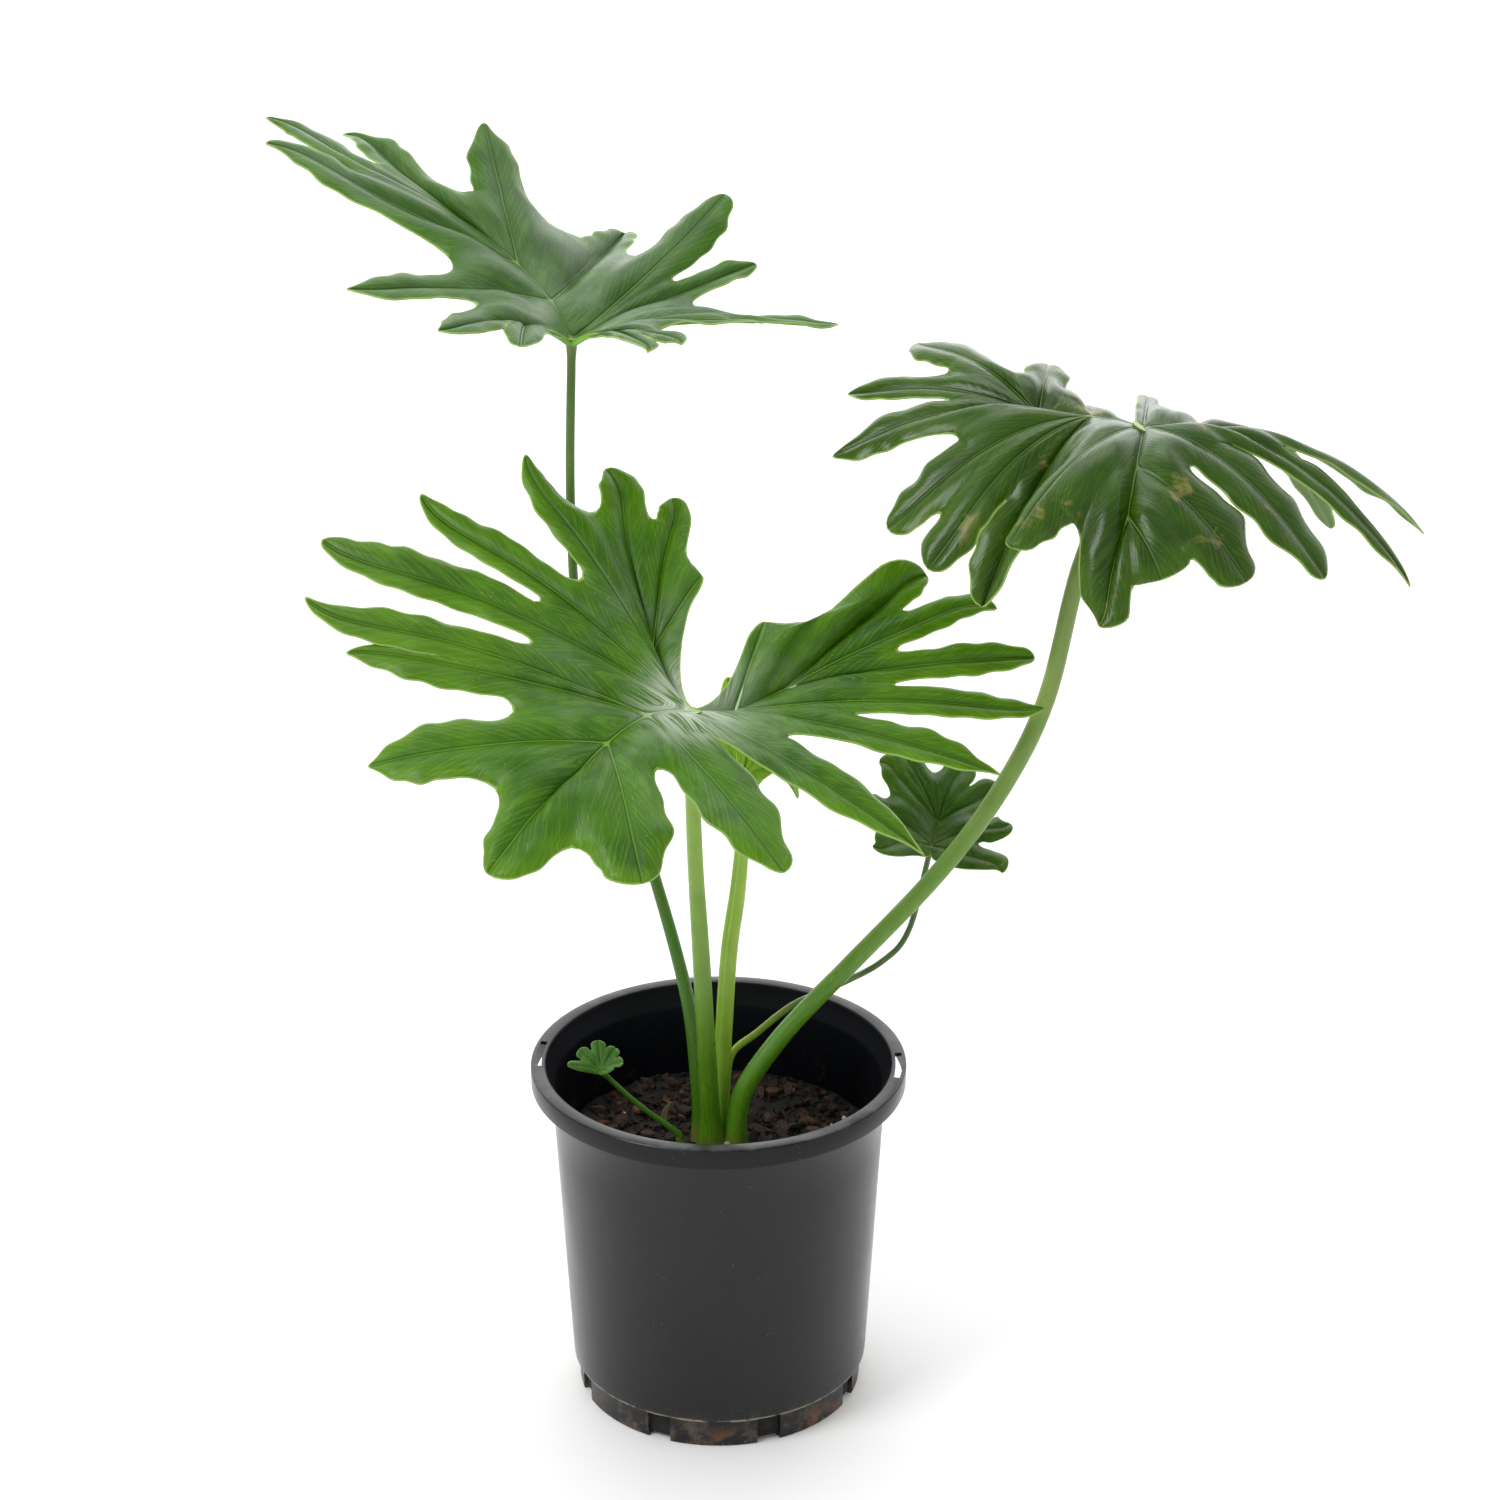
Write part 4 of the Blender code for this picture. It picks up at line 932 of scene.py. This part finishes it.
def petiole_route(name, steps=2):
    """The petiole's middle line, from the crown or, for the seedling, from the mix."""
    if name == "petiole_seedling":
        turn = math.radians(SEEDLING_TURN)
        points = []
        for share, height in SEEDLING_ROUTE:
            radius = CROWN_RADIUS + share * (mix_radius() - CROWN_RADIUS)
            points.append((radius * math.cos(turn), radius * math.sin(turn), height))
        floor = MIX_TOP + MIX_ROUGHNESS
    else:
        x, y, _ = PETIOLES[name].foot
        points = [(x * CROWN_RADIUS, y * CROWN_RADIUS, GAP), *PETIOLES[name].route]
        floor = CROWN_TOP
    return smooth_route(points, steps) + np.array([0, CROWN_Y, floor])


def attachment(name):
    """Where a petiole meets its blade: straight on from its end, across the clearance."""
    route = petiole_route(name)
    return route[-1] + BLADE_CLEARANCE * unit(route[-1] - route[-2])


def channelled(centres, radii, sides, channel=0.0, side=0.0, flare=0.0, crest=0.0):
    """A capped tube with a channel along one side of it, and its points' attributes.

    channel is the channel's depth as a share of the radius, and side the angle that it faces. flare
    and crest are how much wider the tube grows at its foot and at its top."""
    whole = sum(np.linalg.norm(end - start) for start, end in zip(centres, centres[1:]))
    shares = np.linspace(0, 1, len(centres))
    widths = np.interp(shares, np.linspace(0, 1, len(radii)), radii)
    across = np.array([1.0, 0, 0])
    points, along, around, lengths = [], [], [], []
    run = 0.0
    for i, (centre, width) in enumerate(zip(centres, widths)):
        tangent = unit(centres[min(i + 1, len(centres) - 1)] - centres[max(i - 1, 0)])
        across = unit(across - tangent * (across @ tangent))
        other = np.cross(tangent, across)
        if i:
            run += np.linalg.norm(centre - centres[i - 1])
        near_foot = max(0, 1 - run / FLARE_LENGTH) ** 2
        near_top = max(0, 1 - (whole - run) / CREST_LENGTH) ** 2
        spread = width * (1 + flare * near_foot + crest * near_top)
        for turn in turns(sides):
            away = abs(math.remainder(turn - side, 2 * math.pi))
            reach = spread * (1 - channel * math.exp(-((away / CHANNEL_WIDTH) ** 2)))
            points.append(centre + reach * (across * math.cos(turn) + other * math.sin(turn)))
            along.append(shares[i])
            around.append(away)
            lengths.append(run)
    faces = [list(range(sides)), list(range(len(points) - sides, len(points)))]
    for low in range(0, len(points) - sides, sides):
        faces += band(low, low + sides, sides)
    return points, faces, {"along": along, "around": around, "length": lengths}


# low and high are the colours at the foot and above, the darker low ones partly painted shade down in
# the pot, turns the shares of the length between which one turns into the other, edge the streaks'
# colour, channel the depth of the groove as a share of the radius and side the way it faces, in
# degrees from +X
Stalk = namedtuple("Stalk", "slot low high turns edge channel side")
STALKS = {
    "petiole_upper_left": Stalk("leaf_stalk", (0.040, 0.150, 0.003), (0.065, 0.130, 0.015), (0.1, 0.8),
                                (0.12, 0.22, 0.03), 0.28, 150),
    "petiole_front": Stalk("leaf_stalk", (0.055, 0.170, 0.003), (0.33, 0.50, 0.09), (0.20, 0.85),
                           (0.20, 0.40, 0.02), 0.10, 60),
    "petiole_right": Stalk("leaf_stalk", (0.075, 0.230, 0.003), (0.17, 0.25, 0.055), (0.30, 0.75),
                           (0.20, 0.38, 0.04), 0.14, 130),
    "petiole_back": Stalk("leaf_stalk", (0.34, 0.48, 0.04), (0.055, 0.110, 0.028), (0.30, 0.60),
                          (0.13, 0.22, 0.05), 0.10, 90),
    "petiole_new": Stalk("young_stalk", (0.15, 0.34, 0.012), (0.32, 0.52, 0.05), (0.0, 0.6),
                         (0.42, 0.62, 0.12), 0.55, 215),
    "petiole_seedling": Stalk("leaf_stalk", (0.08, 0.19, 0.010), (0.050, 0.170, 0.008), (0.0, 0.55),
                              (0.10, 0.26, 0.02), 0.15, 90),
}


def build_stalks():
    for name, spec in STALKS.items():
        if name == "petiole_seedling":
            radii, steps = SEEDLING_RADII, PETIOLE_STEPS * 2
        else:
            radii = (PETIOLES[name].foot[2] * CROWN_RADIUS, *PETIOLES[name].radii)
            steps = PETIOLE_STEPS
        centres = petiole_route(name, steps)
        end = centres[-1] + (BLADE_CLEARANCE - UNDER_BLADE) * unit(centres[-1] - centres[-2])
        root = centres[0] - ROOTING * unit(centres[1] - centres[0])
        centres = np.vstack([root, centres, (centres[-1] + end) / 2, end])
        side = math.radians(spec.side)
        points, faces, attributes = channelled(
            centres, radii, PETIOLE_SIDES, spec.channel, side, flare=0.40, crest=0.5)
        made = mesh_object(name.replace("petiole", "stalk"), points, faces, 60, attributes)
        made.data.materials.append(stalk(f"{name}_skin", spec))
        stand_in(made, spec.slot, name)


def build_sheath():
    """The dry stub of an old sheath, which leans to the right."""
    low, high = box_of("old_sheath")
    foot = np.array([low[0] + 2.6, (low[1] + high[1]) / 2, low[2]])
    centres = smooth_route([foot, foot + [0.4, 0, 5], foot + [1.4, 0, 9.5], foot + [3.8, 0, 14]], 4)
    points, faces, attributes = channelled(centres, (2.4, 2.2, 1.5, 0.5), 16, 0.6, math.radians(250))
    stub = mesh_object("dry_stub", points, faces, 60, attributes)
    colours = (0.30, 0.22, 0.10), (0.10, 0.12, 0.03)
    stub.data.materials.append(grained("dry_sheath", 0.7, 240, 5, colours, (0.6, 0.0008), 0.15))
    stand_in(stub, "dry_sheath", "old_sheath")


# ---------------------------------------------------------------- leaves


def tip_of(lobe):
    turn = math.radians(lobe.bearing)
    return np.array([lobe.reach * math.cos(turn), lobe.reach * math.sin(turn), lobe.rise])


def upwards(vector):
    """The vector, or its opposite where that one points up."""
    return vector if vector[2] > 0 else -vector


def margin_width(share, point):
    """A lobe's half width from its notch (0) to its tip (1), as a share of the widest."""
    return (0.8 + 0.2 * math.sin(math.pi * min(1, 1.15 * share))) * (1 - share**6) ** point


class Blade:
    """The middle surface of a leaf, as points and faces measured from its attachment.

    Each lobe is two patches, one on each side of its vein. A patch starts along a rib, follows the
    web that it shares with the next lobe as far as the notch between them, and then its own margin.
    """

    def __init__(self, leaf, steps, across):
        self.steps, self.across = steps, across
        self.lobes = leaf.lobes
        start = [(0, 0, 0)]
        self.ribs = {key: smooth_route(start + nodes, 2 * across) for key, nodes in leaf.ribs.items()}
        self.points, self.faces, self.numbers = [], [], {}
        self.spots = []  # (millimetres along a vein, millimetres off it) of each point
        self.veins = [self.vein(i) for i in range(len(self.lobes))]
        pairs = range(len(self.lobes) - 1)
        self.paths = [self.path(self.lobes[i].node, self.lobes[i + 1].node) for i in pairs]
        self.webs = [self.web(i) for i in pairs]
        for i in range(len(self.lobes)):
            self.patch(i, -1)
            self.patch(i, 1)

    def place(self, node):
        """A node as its rib's letter and the number of its sample; the attachment is ("", 0)."""
        return ("", 0) if node == "o" else (node[0], 2 * self.across * int(node[1:]))

    def position(self, place):
        return self.ribs[place[0]][place[1]] if place[1] else np.zeros(3)

    def path(self, first, last):
        """The rib samples from one node to another, which pass the attachment between two ribs."""
        (rib, start), (other, end) = self.place(first), self.place(last)
        if rib == other:
            step = 1 if end >= start else -1
            return [(rib, k) for k in range(start, end + step, step)]
        down = [(rib, k) for k in range(start, 0, -1)]
        up = [(other, k) for k in range(1, end + 1)]
        return [*down, ("", 0), *up]

    def halves(self, i):
        """The path between lobes i and i + 1, cut in two, each part running from its own lobe."""
        path = self.paths[i]
        two_ribs = path[0][0] and path[-1][0] and path[0][0] != path[-1][0]
        middle = path.index(("", 0)) if two_ribs else len(path) // 2
        return path[: middle + 1], path[middle:][::-1]

    def vein(self, i):
        """The vein's points and its unit tangents. It bows within the leaf, towards the next lobe."""
        lobe = self.lobes[i]
        start, tip = self.position(self.place(lobe.node)), tip_of(lobe)
        chord = tip - start
        lift = 4 * lobe.arch * np.array([0, 0, 1])
        tips = [tip_of(other) for other in self.lobes[max(0, i - 1) : i + 2]]
        beside = tips[-1] - tips[0]
        beside = unit(beside - chord * (beside @ chord) / (chord @ chord))
        k = HOOKING
        bow = (k + 1) ** (k + 1) / k**k * lobe.sweep * beside  # so that it is sweep at its greatest
        t = np.linspace(0, 1, self.steps + 1)[:, None]
        points = start + t * chord + t * (1 - t) * lift + t**k * (1 - t) * bow
        tangents = chord + (1 - 2 * t) * lift + (k * t ** (k - 1) - (k + 1) * t**k) * bow
        return points, tangents / np.linalg.norm(tangents, axis=1)[:, None]

    def web(self, i):
        """The line midway between the veins of lobes i and i + 1, from their rib to their notch."""
        count = max(1, round(self.lobes[i].join * self.steps))
        near, far = self.veins[i][0], self.veins[i + 1][0]
        base = self.position(self.halves(i)[0][-1])
        line = []
        for j in range(count + 1):
            middle = (near[j] + far[j]) / 2
            pull = (base - (near[0] + far[0]) / 2) * (1 - j / count) ** 2
            swell = PUCKER * np.linalg.norm(near[j] - far[j]) * math.sin(math.pi * j / count)
            line.append(middle + pull + [0, 0, swell])
        return np.array(line)

    def border(self, i, side):
        """The patch's samples along the rib, the web beside them, and which web that is."""
        if side > 0 and i < len(self.webs):
            return self.halves(i)[0], self.webs[i], i
        if side < 0 < i:
            return self.halves(i - 1)[1], self.webs[i - 1], i - 1
        path = self.path(self.lobes[i].node, "o")
        return path, np.array([self.position(path[-1])]), None

    def outward(self, i, side):
        """From the vein towards its notch on one side, across the vein."""
        web = self.border(i, side)[1]
        points, tangents = self.veins[i]
        last = len(web) - 1
        across = web[-1] - points[last]
        return across - tangents[last] * (across @ tangents[last])

    def margin(self, i, side):
        """The patch's outer edge: the web as far as the notch, and then the lobe's own margin."""
        lobe = self.lobes[i]
        web = self.border(i, side)[1]
        points, tangents = self.veins[i]
        last = len(web) - 1
        outward = self.outward(i, side)
        if np.linalg.norm(outward) < 1e-6:
            outward = -self.outward(i, -side)
        first = unit(outward)
        width = lobe.right if side < 0 else lobe.left
        spare = web[-1] - points[last] - first * width * margin_width(0, lobe.point)
        run = max(np.linalg.norm(spare), 1e-6)
        length = np.linalg.norm(points[-1] - points[0])
        edge = list(web)
        for j in range(last + 1, self.steps + 1):
            share = (j - last) / (self.steps - last)
            side_way = unit(first - tangents[j] * (first @ tangents[j]))
            up = upwards(np.cross(tangents[j], side_way))
            cup = math.radians(lobe.cup) * math.sqrt(share)
            side_way = side_way * math.cos(cup) + up * math.sin(cup)
            round_off = min(1, (j - last) / self.steps * length / run)
            fade = (1 - math.sqrt(2 * round_off - round_off**2)) * (1 - share**4)
            wave = 1 + WAVE * share * math.sin(share * length / WAVE_LENGTH * 2 * math.pi + i + side)
            reach = width * wave * margin_width(share, lobe.point)
            edge.append(points[j] + side_way * reach + spare * fade)
        return np.array(edge)

    def number(self, key, point, along=0.0, off=0.0):
        """The number of a named point, which is added the first time."""
        if key not in self.numbers:
            self.numbers[key] = len(self.points)
            self.points.append(point)
            self.spots.append((along, off))
        return self.numbers[key]

    def patch(self, i, side):
        path, web, web_number = self.border(i, side)
        points, tangents = self.veins[i]
        edge = self.margin(i, side)
        columns = max(len(path) - 1, self.across)
        sampled = [path[round(c * (len(path) - 1) / columns)] for c in range(columns + 1)]
        rows = [[self.number(place, self.position(place)) for place in sampled]]
        length = np.linalg.norm(points[-1] - points[0])
        for j in range(1, self.steps + 1):
            along = length * j / self.steps
            row = [self.number(("vein", i, j), points[j], along)]
            over = edge[j] - points[j]
            width = np.linalg.norm(over)
            up = upwards(unit(np.cross(tangents[j], over)))
            for c in range(1, columns + 1):
                share = c / columns
                fade_in = min(1, 4 * j / self.steps)
                swell = PUCKER * width * math.sin(math.pi * share) * fade_in
                if j == self.steps:
                    row.append(row[0])
                elif c == columns and web_number is not None and j < len(web):
                    row.append(self.number(("web", web_number, j), edge[j], along, width))
                else:
                    point = points[j] + over * share + up * swell
                    row.append(self.number((i, side, j, c), point, along, width * share))
            rows.append(row)
        for low, high in zip(rows, rows[1:]):
            for c in range(columns):
                around = [low[c], low[c + 1], high[c + 1], high[c]]
                face = list(dict.fromkeys(around))
                if len(face) > 2:
                    self.faces.append(face[::side])


def nearest(points, others):
    """The distance from each point to the nearest of some others."""
    tree = kdtree.KDTree(len(others))
    for k, other in enumerate(others):
        tree.insert(Vector(other), k)
    tree.balance()
    return np.array([tree.find(Vector(point))[2] for point in points])


def dense(line, spacing=1.0):
    """Points along a line at most so far apart."""
    made = []
    for start, end in zip(line, line[1:]):
        count = max(1, math.ceil(np.linalg.norm(end - start) / spacing))
        made += [start + (end - start) * k / count for k in range(count)]
    return made + [line[-1]]


def build_leaf(name, leaf, slot):
    """A blade, with grooves over its veins and ripples in its margins, and the ribs under it."""
    blade = Blade(leaf, VEIN_STEPS, ACROSS)
    points = np.array(blade.points)
    mesh = bmesh.new()
    vertices = [mesh.verts.new(point) for point in points]
    for face in blade.faces:
        mesh.faces.new([vertices[k] for k in face])
    bmesh.ops.recalc_face_normals(mesh, faces=mesh.faces)
    if sum(face.normal.z * face.calc_area() for face in mesh.faces) < 0:
        bmesh.ops.reverse_faces(mesh, faces=mesh.faces)
    mesh.normal_update()
    border, veins = [], []
    for side in mesh.edges:
        if side.is_boundary:
            border += dense([np.array(vertex.co) for vertex in side.verts], 1.5)
    for line in [*blade.ribs.values(), *(line for line, _ in blade.veins)]:
        veins += dense(line)
    edge, vein = nearest(points, border), nearest(points, veins)
    normals = np.array([vertex.normal for vertex in mesh.verts])
    size = leaf_size(leaf)
    start = Vector(attachment(leaf.petiole))
    for k, vertex in enumerate(mesh.verts):
        place = Vector(points[k]) / RIPPLE
        reach = max(0, 1 - edge[k] / RIPPLE_REACH) ** 1.5 * min(1, vein[k] / RIPPLE_FADE)
        rise = RIPPLE_RISE * reach * (noise.noise(place) + 0.4 * noise.noise(place * 2.3))
        groove = size * GROOVE_DEPTH * math.exp(-((vein[k] / (size * GROOVE_REACH)) ** 2))
        vertex.co = (Vector(points[k] + normals[k] * (rise - groove)) + start) * 0.001
    data = bpy.data.meshes.new(name)
    mesh.to_mesh(data)
    mesh.free()
    spots = np.array(blade.spots)
    values = {"along": spots[:, 0], "off": spots[:, 1], "edge": edge, "vein": vein,
              "hub": np.linalg.norm(points, axis=1)}
    set_attributes(data, {key: numbers / size for key, numbers in values.items()})
    data.shade_smooth()
    made = placed(name.replace("leaf_", "blade_"), data)
    for look in blade_looks(name):
        data.materials.append(look)
    modify(made, "SUBSURF", levels=1, render_levels=1)
    thickness = BLADE_THICKNESS * 0.001
    modify(made, "SOLIDIFY", thickness=thickness, offset=0, material_offset=1, material_offset_rim=2)
    stand_in(made, slot, name)
    build_ribs(made.name, leaf, blade, data.materials[3], slot)


def leaf_size(leaf):
    """How large a leaf's veins are, as a share of a full-grown leaf's."""
    return min(1.0, max(np.linalg.norm(tip_of(lobe)) for lobe in leaf.lobes) / FULL_GROWN)


def build_ribs(name, leaf, blade, look, slot):
    """The raised veins on the underside, as tapered round cords half sunk in the blade."""
    heap = Heap()
    start = attachment(leaf.petiole)
    size = leaf_size(leaf)
    # a vein's cord stops short of the tip of its lobe
    lines = [(line, *RIB_RADII) for line in blade.ribs.values()]
    lines += [(line[:-2], *VEIN_RADII) for line, _ in blade.veins]
    for line, thick, thin in lines:
        widths = np.linspace(thick, thin, 4) * size
        drop = np.interp(np.linspace(0, 1, len(line)), np.linspace(0, 1, 4), widths)
        centres = line + start - np.outer(drop + size * GROOVE_DEPTH, [0, 0, 1])
        points, faces, _ = channelled(centres, widths, 8)
        heap.add(points, faces)
    stand_in(heap.made(f"{name}_ribs", look, 60), slot)


SLOTS = {"leaf_front": "leaf", "leaf_upper_left": "leaf", "leaf_right": "dark_leaf",
         "leaf_back": "dark_leaf", "leaf_new": "young_leaf", "leaf_seedling": "leaf"}


# ---------------------------------------------------------------- studio

# the room's brightness as it lights the plant, near the viewer and far from them, and as it is seen
NEAR_SIDE, FAR_SIDE, BACKDROP = 0.66, 1.7, 1.3
FLOOR_HALF = 9.0  # metres
# each lamp's name, place, aim and size in metres, and its power in watts
LAMPS = [
    ("key", (-1.6, -1.1, 2.1), (0, 0, 0.35), (1.0, 1.0), 32),
    ("back", (0.3, 2.5, 1.5), (0.05, 0.0, 0.40), (3.2, 1.5), 16),
    ("overhead", (0.1, 0.9, 2.6), (0.05, 0.05, 0.35), (1.6, 1.0), 12),
]


def area_light(name, place, aim, size, power):
    lamp = bpy.data.lights.new(name, "AREA")
    lamp.shape = "RECTANGLE"
    lamp.size, lamp.size_y = size
    lamp.energy = power
    made = placed(name, lamp)
    made.location = place
    made.rotation_euler = (Vector(aim) - Vector(place)).to_track_quat("-Z", "Y").to_euler()


def studio_world():
    """A white room: brightest behind the plant, and dimmer on the near side."""
    room = Nodes(bpy.data.worlds.new("studio"))
    direction = room.node("ShaderNodeTexCoord", output="Generated")
    away = room.node("ShaderNodeSeparateXYZ", (direction,), "Y")
    light = room.node("ShaderNodeMapRange", (away, -0.25, 0.9, NEAR_SIDE, FAR_SIDE))
    by_camera = room.node("ShaderNodeLightPath", output="Is Camera Ray")
    seen = room.node("ShaderNodeMix", {"Factor": by_camera, "A": light, "B": BACKDROP})
    background = room.tree.nodes["Background"]
    room.feed(background.inputs["Color"], (1, 1, 1))
    room.feed(background.inputs["Strength"], seen)
    return room.made


def build_studio():
    scene = bpy.context.scene
    mesh = bpy.data.meshes.new("floor")
    corners = [(x * FLOOR_HALF, y * FLOOR_HALF, 0) for x, y in ((-1, -1), (1, -1), (1, 1), (-1, 1))]
    mesh.from_pydata(corners, [], [[0, 1, 2, 3]])
    floor = placed("floor", mesh)
    mesh.materials.append(studio_floor())
    scene.world = studio_world()
    for lamp in LAMPS:
        area_light(*lamp)
    # the lens and the place that match the photo
    camera = bpy.data.cameras.new("camera")
    camera.lens, camera.sensor_width = 84, 36
    made = placed("camera", camera)
    made.location = (0.0167, -1.656, 1.063)
    made.rotation_euler = (math.pi / 2 - 0.3961, 0, 0)
    scene.camera = made
    scene.view_settings.view_transform = "Standard"


build_studio()
build_pot()
build_mix()
litter_draw = random.Random(7)
build_litter(litter_draw)
build_chips(litter_draw)
build_perlite(litter_draw)
build_crown()
build_stalks()
build_sheath()
for leaf_name, leaf_shape in LEAVES.items():
    build_leaf(leaf_name, leaf_shape, SLOTS[leaf_name])
